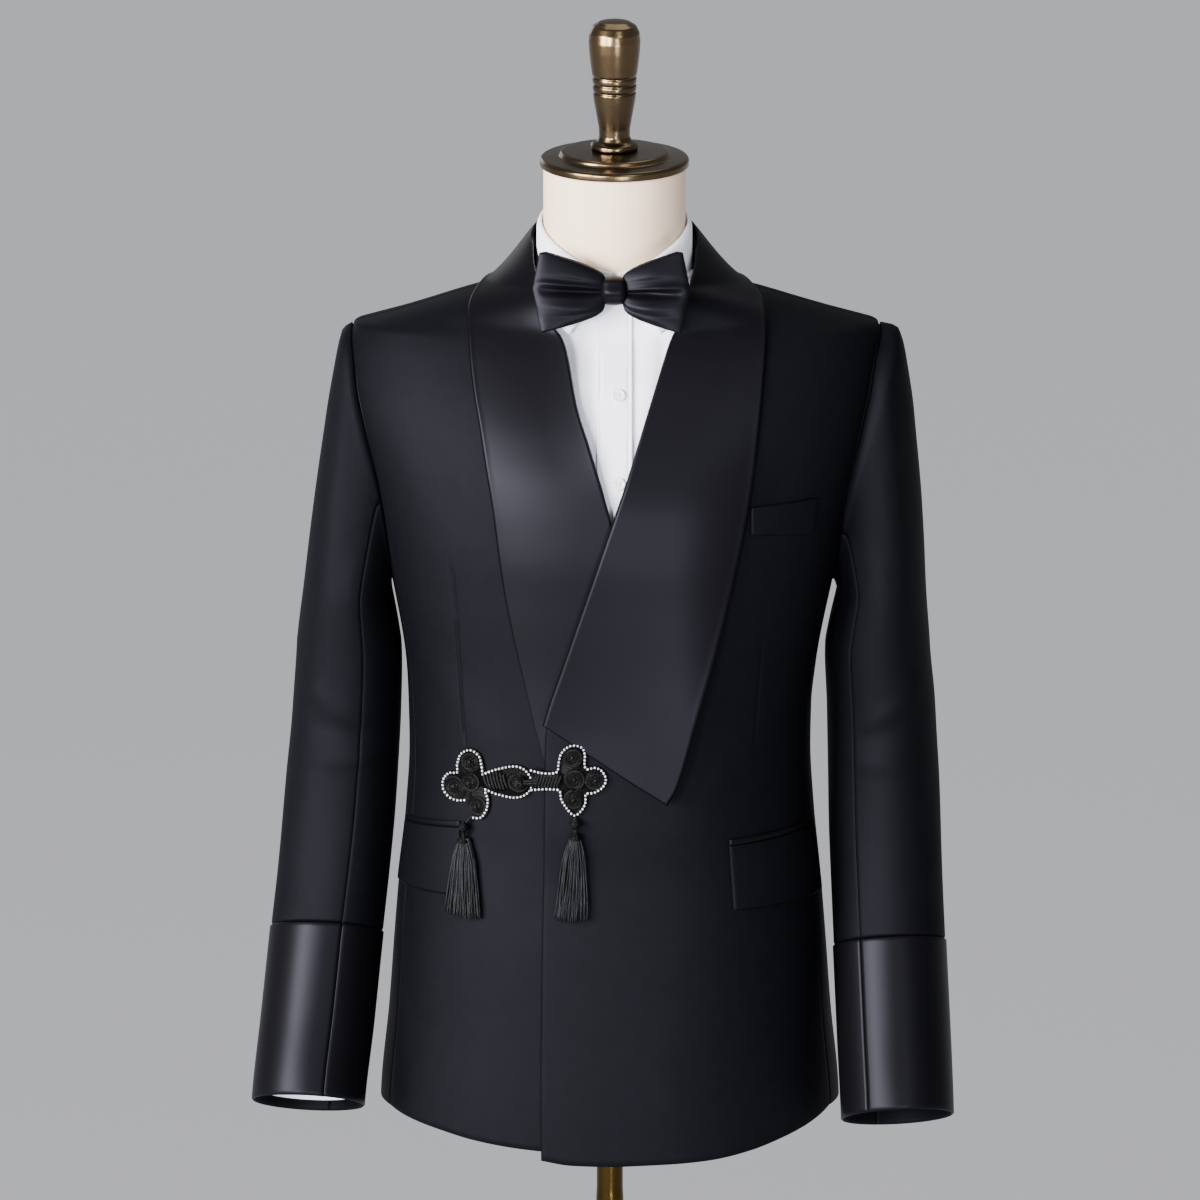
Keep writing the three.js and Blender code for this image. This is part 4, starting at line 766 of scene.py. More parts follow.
shawlStations = {
    "left": [
        ((-52.5, -75), (43.4, -139.5)), ((-48, -58), (52, -122)), ((-37, -24), (66, -72)),
        ((-25, 13), (79, -28)),
        ((-13, 49), (91, 16)), ((0, 87), (101.5, 60)), ((12, 121), (110.5, 105)),
        ((23.5, 156), (117.5, 152)),
        ((34.5, 190), (122.5, 198)), ((47, 226), (125, 232)), ((57, -76, 249), (124, -58, 246)),
        ((63.5, -58, 271), (119, -32, 258)), ((68, -34, 287), (112, 0, 264)),
        ((67.5, -4, 301), (103, 26, 262)),
        ((58, 29, 313), (80, 52, 264)), ((36, 51, 319), (45, 66, 270)), ((3.5, 58, 321), (3.5, 70, 273)),
    ],
    "right": [
        ((38, -104), (51, -115)), ((32, -76), (60, -79)), ((22, -45), (67.5, -47)), ((8, 2), (76.5, -8)),
        ((-5, 40), (84, 30)), ((-9, 66), (89.5, 68)), ((-0.5, 93), (94, 103)), ((7, 120), (99, 132)),
        ((16, 149), (104, 163)), ((26.5, 181), (109.5, 193)), ((36, 225), (113, 225)),
        ((50, -76, 249), (113, -56, 246)),
        ((56.5, -58, 271), (109, -32, 258)), ((61, -34, 287), (103, 0, 264)),
        ((60.5, -4, 301), (95, 26, 262)),
        ((51, 29, 313), (73, 52, 264)), ((29, 51, 319), (38, 66, 270)),
        ((-3.5, 58, 321), (-3.5, 70, 273)),
    ],
}
shawl = {"roll": 2.2, "rollReach": 0.4, "edgeSwell": 0.35, "tipLift": 10}


# roll point to outer edge as a parabola that drops round the neck, pushed clear of the front below
def shawlUnder(side, across, along):
    def place(at):
        if len(at) == 3:
            return (sign[side] * at[0], at[1], at[2] + chestLine)
        return tuple(bodyPoint(side, angleInFront(side, at[0], at[1]), at[1], cloth["rest"]))

    roll = through([place(a) for a, _ in shawlStations[side]])(along)[:, None]
    outer = through([place(b) for _, b in shawlStations[side]])(along)[:, None]
    bend = smooth(235, 285, roll[..., 2] - chestLine)[..., None]
    outward = unit((outer - roll) * [1, 1, 0])
    control = mix(mix(roll, outer, 0.5), roll + outward * 12, bend)
    f = across[None, :, None]
    p = roll * (1 - f) ** 2 + control * 2 * f * (1 - f) + outer * f * f
    h = p[..., 2] - chestLine
    lift = shawl["tipLift"] * across[None, :] ** 2 * (1 - smooth(-130, 70, h)) * (side == "left")
    return pushedOut(p, lapOf(side, p[..., 0], h) + cloth["shawlRest"] + lift + 1.2 * smooth(190, 235, h))


for side in sides:
    across, along = steps(46, 95), steps(230, 520)
    under = relaxed(shawlUnder(side, across, along), 6)
    h = under[..., 2] - chestLine
    f = np.broadcast_to(across[None, :], h.shape)
    low = smooth(95, 150, h) if side == "right" else 1
    rollSwell = shawl["roll"] * np.maximum(1 - f / shawl["rollReach"],
                                           0) ** 2 * low * (1 - smooth(240, 285, h))
    edgeSwell = shawl["edgeSwell"] * smooth(0.955, 0.985, f)
    over = moved(under, lambda p: p * [0, 1, 0], cloth["satinWall"] + rollSwell + edgeSwell)
    clothPiece("shawl_" + side + "_satin", drawnBack(over), drawnBack(under), [satin, wool], "satin",
               ["shawl_" + side],
               "folded", ["jacket_front_" + side])

standTops = through([(0, 59.6, 319.4), (32.6, 52.6, 317.2), (55.8, 30.4, 310.8), (65.8, -4, 298.8),
                     (65.8, -20, 292)])
w = steps(120, 330) * 2 - 1
reach = np.abs(w) * 110
standLow = np.where(reach < 90, mix(shoulder["nape"], shoulder["neckPoint"], reach / 90),
                    shoulder["neckPoint"] - (reach - 90) * 0.16)
bySide = [bodyPoint(side, (90 - reach) * degree, standLow + 0.6, 0 * w) for side in ("right", "left")]
standFoot = np.where((w < 0)[:, None], bySide[0], bySide[1])
top = standTops(np.abs(w))
standTop = point(neck["x"] + np.sign(w) * top[:, 0], top[:, 1], top[:, 2])
rise = ((mix(0.3, 4, steps(16, 40)) - 0.3) / 3.7)[:, None, None]
stand = mix(standFoot[None], standTop[None], rise)
clothPiece("jacket_collar_stand", stand, moved(stand, fromAxis, -cloth["wall"]), [wool, wool],
           "jacket_wool",
           ["collar_stand"], "folded", ["shirt_collar_leaf"])
print("shawl and collar ready")


# Sleeves and cuffs

sleeveTable = columns("right left depth halfWidth halfDepth pitch slant", [
    (-415, 248, 236, -90, 45.6, 50, 23, 3), (-403, 247.4, 235.8, -86, 45.6, 50, 23, 3),
    (-340, 240.4, 233.4, -58, 46, 50.5, 22, 3),
    (-270, 233, 230.4, -30, 46, 52, 20, 3), (-228, 228.2, 228.6, -15, 46, 53.5, 15, 3),
    (-185, 223.8, 226.7, -4, 46, 55, 10, 3),
    (-135, 219.6, 225, 3, 45.4, 57, 6, 3), (-85, 216.2, 223, 6, 44.6, 59, 2, 2),
    (-35, 214.2, 219.8, 5, 43, 61, 0, 1),
    (10, 215, 222.5, 2, 36.5, 63, 0, 0),
])
headTable = columns("bulge", [(0, 0), (0.035, 0.85), (0.12, 1), (0.26, 0.98), (0.44, 0.82), (0.64, 0.6),
                              (0.84, 0.3), (1, 0)])
sleeve = {
    "headBulge": {"left": 16.5, "right": 8.5}, "drop": {"left": -12, "right": 0}, "armTop": 10,
    "headLift": 0.22,
    "frontSeam": {"left": 124 * degree, "right": 108 * degree}, "backSeam": 250 * degree,
    "cuffTop": -270, "cuffBottom": -403, "foldDepth": 1.0, "middle": 222, "girth": 50, "halfRound": 157,
}
# creases of a sleeve as (millimetres round from its outside, height), width and depth
sleeveCreases = [((30, -60), (95, -95), 9, 1.1), ((40, -95), (110, -110), 8, -0.9),
                 ((55, -130), (110, -128), 8, 0.9),
                 ((-30, -30), (-90, -80), 12, 0.8), ((-40, -170), (-95, -120), 10, -0.8),
                 ((15, -200), (70, -250), 11, 0.7),
                 ((-60, 20), (-95, 100), 10, -0.8), ((60, 20), (85, 110), 10, -0.7),
                 ((0, -120), (25, -220), 16, 0.7)]


# a level oval, pitched forward and slanted outwards
def sleeveRing(side, h, inset, turn):
    pitch, slant = sleeveTable["pitch"](h) * degree, sleeveTable["slant"](h) * degree
    drop = sleeve["drop"][side] * (1 - smooth(-270, -60, h))
    across = (sleeveTable["halfWidth"](h) - inset) * np.cos(turn)
    forward = (sleeveTable["halfDepth"](h) - inset) * np.sin(turn)
    return point(
        sign[side] * (sleeveTable[side](h) + across * np.cos(slant)),
        sleeveTable["depth"](h) - forward * np.cos(pitch),
        h + drop + across * np.sin(slant) + forward * np.sin(pitch),
    )


# from the armhole the sleeve is ruled down to the arm's first oval and swells out over the shoulder
def sleeveHead(side, turn, along, less, topLess, out, inset, swell):
    u, h = onArmhole(turn, less, topLess)
    outward = unit(bodyNormal(side, u, np.minimum(h, 190)) * [1, 1, 0])
    outward = outward + np.array([0, 0, sleeve["headLift"]]) * np.maximum(np.cos(turn), 0)[..., None] ** 4
    share = (0.06 + 0.94 * (1 + np.cos(turn)) / 2) * sleeve["headBulge"][side]
    start = bodyPoint(side, u, h, 0 * h + out)
    end = sleeveRing(side, sleeve["armTop"], inset, turn)
    bulge = headTable["bulge"](along) * (share if swell is None else swell)
    return mix(start, end, along[..., None]) + outward * bulge[..., None]


def sleeveFaces(side, turns, bottom, thickness, less=0.6, topLess=None, out=0.6, inset=0, swell=None,
                closed=False, rows=(60, 100)):
    topLess = less if topLess is None else topLess
    along, h = steps(rows[0], 215)[:-1], np.linspace(sleeve["armTop"], bottom, rows[1])
    a, b = np.meshgrid(along, turns, indexing="ij")
    head = sleeveHead(side, b, a, less, topLess, out, inset, swell)
    c, d = np.meshgrid(h, turns, indexing="ij")
    arm = sleeveRing(side, c, inset, d)
    grid = np.concatenate([head, arm])
    seat = len(along)
    near = slice(seat - 22, seat + 16)
    for _ in range(40):  # eases the turn where the head meets the arm
        part = grid[near]
        part[1:-1] = part[1:-1] * 0.5 + (part[2:] + part[:-2]) * 0.25
        grid[near] = part
    facing = lambda p: p * [1, 1, 0] - [sign[side] * sleeve["middle"], 0, 0]
    if inset == 0:  # creases of the jacket's sleeve, placed by the distance round it
        reach = sleeve["halfRound"]
        aroundHead, aroundArm = ((turn * sleeve["girth"] + reach) % (2 * reach) - reach
                                 for turn in (b, d))
        headDent = bells(aroundHead, mix(200.0, 10.0, a), sleeveCreases) * smooth(0.15, 0.5, a)
        dent = bells(aroundArm, c, sleeveCreases) * sleeve["foldDepth"]
        grid = moved(grid, facing, np.concatenate([headDent, dent * smooth(bottom, bottom + 30, c)]),
                     closed)
    inner = moved(grid, facing, -thickness, closed)
    start = bodyPoint(side, *onArmhole(turns, less + thickness, topLess + thickness), 0 * turns + out)
    inner[0] = start
    return grid, inner


tape = {"wall": 1, "out": -2.5, "rise": 4, "from": -5, "to": 5.5}
for side in sides:
    less, turns = np.meshgrid(mix(tape["from"], tape["to"], steps(10, 10)),
                              np.linspace(0, tau, 120, endpoint=False), indexing="ij")
    out = tape["out"] + tape["rise"] * smooth(0, tape["to"], less)
    strip, stripIn = (bodyPoint(side, *onArmhole(turns, less, less * 0.8), out - more)
                      for more in (0, tape["wall"]))
    clothPiece("armhole_tape_" + side, strip, stripIn, [lining, lining], "jacket_wool", [], "folded",
               ["jacket_front_" + side], closed=True)
    seam = sleeve["frontSeam"][side]
    turnSets = {"top": (sleeve["backSeam"] - tau, seam, 74), "under": (seam, sleeve["backSeam"], 54)}
    for name, (start, end, count) in turnSets.items():
        turns = mix(start, end, steps(count, abs(end - start) * 50))
        outer, inner = sleeveFaces(side, turns, sleeve["cuffTop"], cloth["wall"])
        clothPiece(f"sleeve_{name}_cloth_{side}", drawnBack(outer), drawnBack(inner), [wool, lining],
                   "jacket_wool",
                   [f"sleeve_{name}_{side}"], "hung", ["jacket_front_" + side])
        h, turn = np.meshgrid(mix(sleeve["cuffTop"], sleeve["cuffBottom"], steps(50, 135)), turns,
                              indexing="ij")
        cuffOuter, cuffInner = (drawnBack(sleeveRing(side, h, inset, turn)) for inset in (-0.9, 1.5))
        clothPiece(f"cuff_{name}_satin_{side}", cuffOuter, cuffInner, [satin, wool], "satin",
                   [f"cuff_{name}_{side}"],
                   "folded", [f"sleeve_{name}_cloth_{side}"])
print("sleeves ready")


# Pockets

pockets = {
    "welt": {"low": [(112, 79), (162, 73)], "high": [(112, 101), (166, 103)], "out": 2.5, "wall": 1.8},
    "left": {"top": (94.7, -179.5), "bottom": (99, -233), "sideTop": (-33, -178),
             "sideBottom": (-28, -236)},
    "right": {"top": (121, -168), "bottom": (118, -224), "sideTop": (-28, -178),
              "sideBottom": (-23, -229)},
}


# four corners as (angle, height), from the lower front one anticlockwise; a small pull rounds the corners
def cornerPanel(side, corners, counts, out, thickness, bow=0.0):
    edges = {
        "bottom": straight(corners[0], corners[1]), "right": straight(corners[1], corners[2]),
        "top": straight(corners[3], corners[2]), "left": straight(corners[0], corners[3]),
    }
    across, up = steps(counts[0], 60), steps(counts[1], 50)
    crown = bow * np.sin(np.pi * across)[None, :] * np.sin(np.pi * up)[:, None]
    return panelFaces(side, edges, across, up, lambda x, h: out(x, h) + crown, thickness)


weltCorners = [(angleInFront("left", x, h), h)
               for x, h in pockets["welt"]["low"] + pockets["welt"]["high"][::-1]]
outer, inner = cornerPanel("left", weltCorners, (40, 20), lambda x, h: lap(x, h) + pockets["welt"]["out"],
                           pockets["welt"]["wall"], 0.5)
clothPiece("pocket_welt", outer, inner, [wool, wool], "jacket_wool", ["breast_welt"], "folded",
           ["jacket_front_left"])
for side in sides:
    place = pockets[side]
    atSide = lambda spot, more=0: (angleAtSide(spot[0], spot[1] + more), spot[1] + more)
    atFront = lambda spot, more=0: (angleInFront(side, spot[0], spot[1] + more), spot[1] + more)
    flap = [atFront(place["bottom"]), atSide(place["sideBottom"]), atSide(place["sideTop"]),
            atFront(place["top"])]
    flapOut = lambda x, h: lapOf(side, x, h) + cloth["rest"] + 2.4
    outer, inner = cornerPanel(side, flap, (64, 40), flapOut, 2, 0.8)
    clothPiece("pocket_flap_" + side, outer, inner, [wool, lining], "jacket_wool", ["flap_" + side],
               "hung", ["jacket_front_" + side])
    jet = [atFront(place["top"], 0.7), atSide(place["sideTop"], 0.7), atSide(place["sideTop"], 5),
           atFront(place["top"], 5)]
    jetOut = lambda x, h: lapOf(side, x, h) + cloth["rest"] + 2
    outer, inner = cornerPanel(side, jet, (64, 10), jetOut, 1.4, 0.6)
    clothPiece("pocket_jet_" + side, outer, inner, [satin, satin], "satin", ["jet_" + side], "folded",
               ["jacket_front_" + side])
print("pockets ready")


# Frog fastening

frog = {"cord": 1.15, "bead": 1.0, "beadStep": 2.9, "coil": 1.25, "plate": 0.8,
        "knob": 1.9, "rib": 1.25, "ribStep": 2.3, "ball": 5.4, "wrap": 0.9, "shank": 1.3}
frogOutlines = {
    "right": [
        [(101.5, -121), (90, -115.5), (76, -111.8), (67, -115), (62.3, -124.5), (66, -133.5),
         (76, -137.8), (91, -136),
         (99.5, -133.5), (97.5, -141), (98.5, -150), (103, -157), (109, -158)],
        [(116, -144.5), (122, -145.7), (128.5, -144), (133, -138.5), (132.8, -130.5), (128, -124.2),
         (121.8, -122.6),
         (121.6, -115.5), (118.6, -106.5), (111.5, -102), (104.6, -106), (102.2, -114), (101.5, -121)],
    ],
    "left": [
        [(-61.4, -112.6), (-54, -114.2), (-46, -114.4), (-41, -112.4), (-40, -105), (-38, -97.5),
         (-33, -92.2), (-27.5, -90.8),
         (-22, -92.6), (-19.8, -98), (-20, -106.5), (-18, -110.2), (-11.5, -109), (-6.2, -112),
         (-3.3, -118.5), (-5.6, -124.8),
         (-12, -129.6), (-18.8, -131), (-19.3, -138), (-22.4, -144.5), (-28, -148.8), (-34, -143),
         (-38.2, -135.5),
         (-39.6, -128.6), (-47, -127.6), (-54, -128), (-61, -129)],
    ],
}
# coils as centre, outer radius and start turn; the last number is how many turns they make
frogCoils = {
    "right": [((112.5, -129.5), 7.4, 110, 2.5), ((124.5, -134.5), 8.0, 20, 2.6),
              ((111.8, -112), 7.8, 250, 2.6), ((107, -148.5), 7.6, 80, 2.4),
              ((74, -124.8), 8.6, 180, 2.6)],
    "left": [((-28, -119), 8.2, 300, 2.6), ((-29.5, -101), 7.8, 270, 2.6),
             ((-11.5, -119.5), 7.8, 180, 2.6), ((-28.6, -136), 7.6, 90, 2.4)],
}
# ribs across the necks as start, end and half width
frogBars = {"right": [((100, -125.2), (84, -125), 7.0)], "left": [((-40, -121), (-59, -120.8), 6.4)]}

# dark ground inside the outline, as its middle and the places round it
frogPlates = {
    "right": [((112, -130), frogOutlines["right"][0][8:] + frogOutlines["right"][1][:-1] + [(100, -127)]),
              ((80, -125), frogOutlines["right"][0][:9])],
    "left": [((-28, -119), frogOutlines["left"][0][3:24]),
             ((-50, -121), frogOutlines["left"][0][:4] + frogOutlines["left"][0][23:])],
}


# a place on the front and its normal, lifted clear of the layers below
def onFront(side, x, h, out):
    u = angleInFront(side, x, h)
    return bodyPoint(side, u, h, out + lapOf(side, x, h) + cloth["rest"]), bodyNormal(side, u, h)


# points along a smooth curve through given places, spaced evenly
def spacedPath(places, spacing):
    dense = through(places)(np.linspace(0, 1, 900))
    length = np.concatenate([[0], np.cumsum(np.linalg.norm(np.diff(dense, axis=0), axis=-1))])
    count = max(int(round(length[-1] / spacing)), 3)
    at = np.linspace(0, length[-1], count + 1)
    return np.stack([np.interp(at, length, dense[:, k]) for k in (0, 1)], -1)


# spiral: radius shrinks evenly with the turn
def coilPath(centre, radius, start, turns):
    t = np.linspace(0, 1, int(turns * 26))
    r = mix(radius, 1.3, t)
    a = start * degree + t * turns * tau
    return np.stack([centre[0] + r * np.cos(a), centre[1] + r * np.sin(a)], -1)


for side in sides:
    bodies, kinds = [], []
    beadPlaces = []
    for outline in frogOutlines[side]:
        path = spacedPath(outline, 1.0)
        p, n = onFront(side, path[:, 0], path[:, 1], frog["cord"] + 0.3)
        bodies.append(cordBody(p, n, frog["cord"] + 0.25, 8))
        kinds.append(0)
        spots = spacedPath(outline, frog["beadStep"])
        p, n = onFront(side, spots[:, 0], spots[:, 1], 0.3 + 2 * frog["cord"] + 0.75 * frog["bead"])
        beadPlaces.append(p)
    for centre, places in frogPlates[side]:
        rim = through(places + places[:1])(np.linspace(0, 1, 96, endpoint=False))
        rings = [onFront(side, *mix(np.array(centre), rim, share).T, lift)[0]
                 for share, lift in ((0.99, 0.15), (0.99, 0.5), (0.97, frog["plate"]),
                                     (0.6, frog["plate"]), (0.03, frog["plate"]))]
        bodies.append(ringBody(np.array(rings)))
        kinds.append(0)
    for centre, radius, start, turns in frogCoils[side]:
        path = coilPath(centre, radius, start, turns)
        rise = mix(1.2, 3.0, np.linspace(0, 1, len(path)) ** 0.8)
        p, n = onFront(side, path[:, 0], path[:, 1], rise)
        bodies.append(cordBody(p, n, frog["coil"], 8))
        kinds.append(0)
        p, n = onFront(side, np.array([centre[0]]), np.array([centre[1]]), 3.4)
        bodies += beadBodies(p, frog["knob"], 7, 12)
        kinds.append(0)
        pad = np.stack([centre[0] + radius * np.cos(np.linspace(0, tau, 28, endpoint=False)),
                        centre[1] + radius * np.sin(np.linspace(0, tau, 28, endpoint=False))], -1)
        shares, lifts = (0.98, 1.04, 0.98, 0.6, 0.1), (0.2, 0.9, 1.7, 2.2, 2.5)
        rings = [onFront(side, centre[0] + (pad[:, 0] - centre[0]) * s,
                         centre[1] + (pad[:, 1] - centre[1]) * s, lift)[0]
                 for s, lift in zip(shares, lifts)]
        bodies.append(ringBody(np.array(rings)))
        kinds.append(0)
    for (x0, h0), (x1, h1), half in frogBars[side]:
        for t in np.linspace(0, 1, int(abs(x1 - x0) / frog["ribStep"])
                             + 1):  # slanting ribs laid side by side
            x, h = mix(x0, x1, t), mix(h0, h1, t)
            s = np.linspace(-1, 1, 14)
            width = half * (0.78 if t in (0, 1) else 1)
            p, n = onFront(side, x + s * 1.8, h + s * width, 1.5 + 1.1 * (1 - s**2))
            bodies.append(cordBody(p, n, frog["rib"], 8))
            kinds.append(0)
    if side == "left":  # the ball that goes through the right side's loop, and its shank
        p, n = onFront("right", np.array([72.0]), np.array([-124.0]), 7.4)
        bodies += beadBodies(p, frog["ball"], 13, 24)
        kinds.append(0)
        spiral = np.linspace(0.25, np.pi - 0.25, 90)
        ball = np.stack([np.sin(spiral) * np.cos(spiral * 12), np.cos(spiral),
                         -np.sin(spiral) * np.sin(spiral * 12)], -1)
        bodies.append(cordBody(p + ball * 5.2, unit(ball), frog["wrap"], 6))
        kinds.append(0)
        ends = [p[0], onFront("left", np.array(-64.0), np.array(-123.0), 3.0)[0],
                onFront("left", np.array(-56.0), np.array(-122.0), 2.6)[0]]
        for offset in (-1.1, 1.1):
            shank = through([e + [0, 0, offset] for e in ends])(np.linspace(0, 1, 16))
            bodies.append(cordBody(shank, np.tile([0.0, -1.0, 0.0], (16, 1)), frog["shank"], 8))
            kinds.append(0)
    beads = beadBodies(np.concatenate(beadPlaces), frog["bead"])
    bodies += beads
    kinds += [1] * len(beads)
    settle(gathered("frog_braid_" + side, bodies, [braid, bead], kinds), "braid", "frog_" + side)
print("frog fastening ready")


# Tassels

tassels = {
    "right": {"head": (115.5, -166), "foot": (117.4, -241), "spread": 14.5, "stem": (110, -156)},
    "left": {"head": (-27, -155), "foot": (-31.5, -237), "spread": 14.5, "stem": (-27.8, -147.5)},
}
tasselMake = {"threads": 105, "thread": 0.72, "roots": 3.6, "rings": 11, "sides": 4,
              "goldenTurn": 2.39996}

rng = np.random.default_rng(7)
for side in sides:
    values = tassels[side]
    (x, h), (footX, footH) = values["head"], values["foot"]
    ball = onFront(side, np.array(float(x)), np.array(float(h)), 6.2)[0]
    bodies, kinds = [], []
    capProfile = softProfile([(0.4, -3.4), (3.1, -3), (4.3, -1), (4.3, 1), (3.1, 3.3), (1.5, 4.4),
                              (0.4, 4.6)], 0.6, 2)
    bodies.append(ringBody(turnedRings(capProfile, ball, 0, 24)))
    band = softProfile([(0.6, -14), (4.4, -13.6), (4.7, -11.4), (3.9, -9.4), (1.9, -7.6), (1.7, -4),
                        (0.5, -3)], 0.6, 2)
    bodies.append(ringBody(turnedRings(band, ball, 0, 24)))
    kinds += [0, 0]
    for rise, radius in ((0.0, 4.3), (-11.8, 4.7), (-4.4, 1.9)):  # thread wound round the head and neck
        a = np.linspace(0, tau, 28, endpoint=False)
        ring = ball + np.stack([radius * np.cos(a), radius * np.sin(a), 0 * a + rise], -1)
        bodies.append(loopBody(ring, np.tile([0.0, 0.0, 1.0], (28, 1)), 0.6))
        kinds.append(0)
    stem = spacedPath([(x, h), (mix(x, values["stem"][0], 0.5), mix(h, values["stem"][1], 0.6)),
                       values["stem"]], 0.8)
    lifts = mix(6.2, 2.2, smooth(0, 1, np.linspace(0, 1, len(stem))))
    p, n = onFront(side, stem[:, 0], stem[:, 1], lifts)
    bodies.append(cordBody(p, n, 1.3, 8))
    kinds.append(0)
    count = tasselMake["threads"]
    f = np.linspace(0, 1, tasselMake["rings"])
    for k in range(count):  # a thread hangs from a point inside the head and fans out as it falls
        turn = k * tasselMake["goldenTurn"]
        reach = np.sqrt((k + 0.5) / count)
        side0, depth0 = reach * np.cos(turn), reach * np.sin(turn)
        wave = rng.uniform(-0.5, 0.5, 3)
        fan = smooth(0, 0.32, f) * 0.3 + 0.7 * f**0.9
        across = side0 * mix(tasselMake["roots"], values["spread"],
                             fan) + 2.6 * wave[0] * np.sin(f * 6 + turn) * f
        out = 4.4 + depth0 * 3.3 + 0.6 * wave[1] * np.sin(f * 9)
        end = footH + 2.2 * side0**2 + 1.5 * wave[2]
        p, n = onFront(side, mix(x, footX, f) + across, mix(h - 9, end, f), np.maximum(out, 0.9))
        bodies.append(cordBody(p, n, tasselMake["thread"] * (1 + 0.2 * wave[0])
                               * np.where(f > 0.98, 0.7, 1.0), tasselMake["sides"]))
        kinds.append(1)
    settle(gathered("tassel_thread_" + side, bodies, [braid, thread], kinds), "braid", "tassel_" + side)
print("tassels ready")


# Shirt

shirt = {"hem": -290, "neckFront": 262, "neckSide": 268.5, "neckBack": 281, "less": 7.4, "placket": 14.5,
         "stitch": 1.1}


# how deep the shirt lies under the jacket's outer face
def shirtIn(h):
    return -mix(8, 4.8, smooth(250, 264, h)) - 2 * smooth(200, 220, h) * (1 - smooth(235, 250, h))


# the shirt's armhole, a little inside the jacket's
def holeEdge(start, end):
    u, h = onArmhole(np.linspace(start, end, 17), shirt["less"], 0)
    return list(zip(u, h))


shirtLow = float(onArmhole(np.pi, shirt["less"], 0)[1])
shirtSeam = [(0, h) for h in np.linspace(shirt["hem"], shirtLow, 9)[:-1]]
shoulderLine = [(0, h) for h in np.linspace(shirt["neckSide"], shoulder["tip"], 6)[1:]]
# soft upright folds either side of the placket, as distance, width and depth
shirtFolds = [(19.5, 2.6, -1.3), (27, 3.6, 2.4), (36, 4.6, -2.6), (47, 6, 2.2), (60, 8, -1)]
for side in sides:
    middle = {"left": 3.5, "right": -3.5}[side]
    h = np.linspace(shirt["hem"], shirt["neckFront"], 13)
    centre = list(zip(angleInFront(side, middle, h), h))
    t = np.linspace(0, 1, 7)
    throat = list(zip(mix(centre[-1][0], 0, t), mix(shirt["neckFront"], shirt["neckSide"], t)))
    shirtEdge = {
        "left": edge(side, centre), "right": edge(side, shirtSeam + holeEdge(np.pi, 0)),
        "bottom": edge(side, [(u, shirt["hem"]) for u in np.linspace(centre[0][0], 0, 7)]),
        "top": edge(side, throat + shoulderLine),
    }

    def shirtOut(x, h, side=side):
        off = sign[side] * (x - neck["x"])
        waves = sum(depth * np.exp(-(((off - at - (h - 150) * 0.05) / width) ** 2))
                    for at, width, depth in shirtFolds)
        return shirtIn(h) + waves * smooth(20, 90, h) * (1 - smooth(225, 262, h))

    outer, inner = panelFaces(side, shirtEdge, steps(70, 240), steps(110, 560), shirtOut,
                              cloth["shirtWall"])
    clothPiece("shirt_chest_" + side, outer, inner, [cotton, cotton], "shirt_cotton",
               ["shirt_front_" + side], "draped", ["form_torso"])

backParts = []
across, up = np.linspace(0, 1, 40), steps(90, 560)
for side in sides:
    t = np.linspace(0, 1, 6)
    backTop = list(zip((1 - t) * 90 * degree, mix(shirt["neckBack"], shirt["neckSide"], t)))
    edges = {
        "left": edge(side, [(90 * degree, h) for h in np.linspace(shirt["hem"], shirt["neckBack"], 13)]),
        "bottom": edge(side, [(u, shirt["hem"]) for u in np.linspace(90 * degree, 0, 7)]),
        "right": edge(side, shirtSeam + holeEdge(np.pi, tau)), "top": edge(side, backTop + shoulderLine),
    }
    u, h = coons(edges, np.append(across[:-1], [1 - 0.004, 1]), up)
    deeper = 7 * smooth(0, 0.16, u) * (1 - smooth(0.5, 0.9, u)) * (
        smooth(190, 215, h)) * (1 - smooth(262, 276, h))
    backParts.append([bodyPoint(side, u, h, shirtIn(h) - deeper - less)
                      for less in (0, cloth["shirtWall"])])
outer, inner = (np.concatenate([backParts[1][k][:, ::-1], backParts[0][k][:, 1:]], 1) for k in (0, 1))
clothPiece("shirt_back_cloth", outer, inner, [cotton, cotton], "shirt_cotton", ["shirt_back"], "draped",
           ["form_torso"])

# placket: a flat strip with a stitched groove near each edge
t, s = np.meshgrid(steps(200, 550), steps(30, 29) * 2 - 1, indexing="ij")
h = mix(shirt["hem"] + 3, shirt["neckFront"] - 3, t)
x = neck["x"] + s * shirt["placket"]
u = angleInFront("left", x, h)
groove = shirt["stitch"] * np.exp(-(((np.abs(s) - 0.78) / 0.055) ** 2)) * (
    0.6 + 0.4 * np.sin(h * tau / 2.6))
faces = [bodyPoint("left", u, h, shirtIn(h) + more - (groove if more > 1 else 0))
         for more in (1 + cloth["shirtWall"], 1)]
clothPiece("shirt_placket_strip", *faces, [cotton, cotton], "shirt_cotton", ["shirt_placket"], "folded",
           ["shirt_chest_left"])

# buttons: a dished disc with a rolled rim and four thread holes, each with its crossed thread
buttons = {"x": 6.8, "radius": 5.4, "height": 1.5, "hole": 0.62, "holeOut": 1.15,
           "rows": [(191, 0.45), (122, 0), (53, 0.9), (-16, 0.9), (-85, 0.9)]}


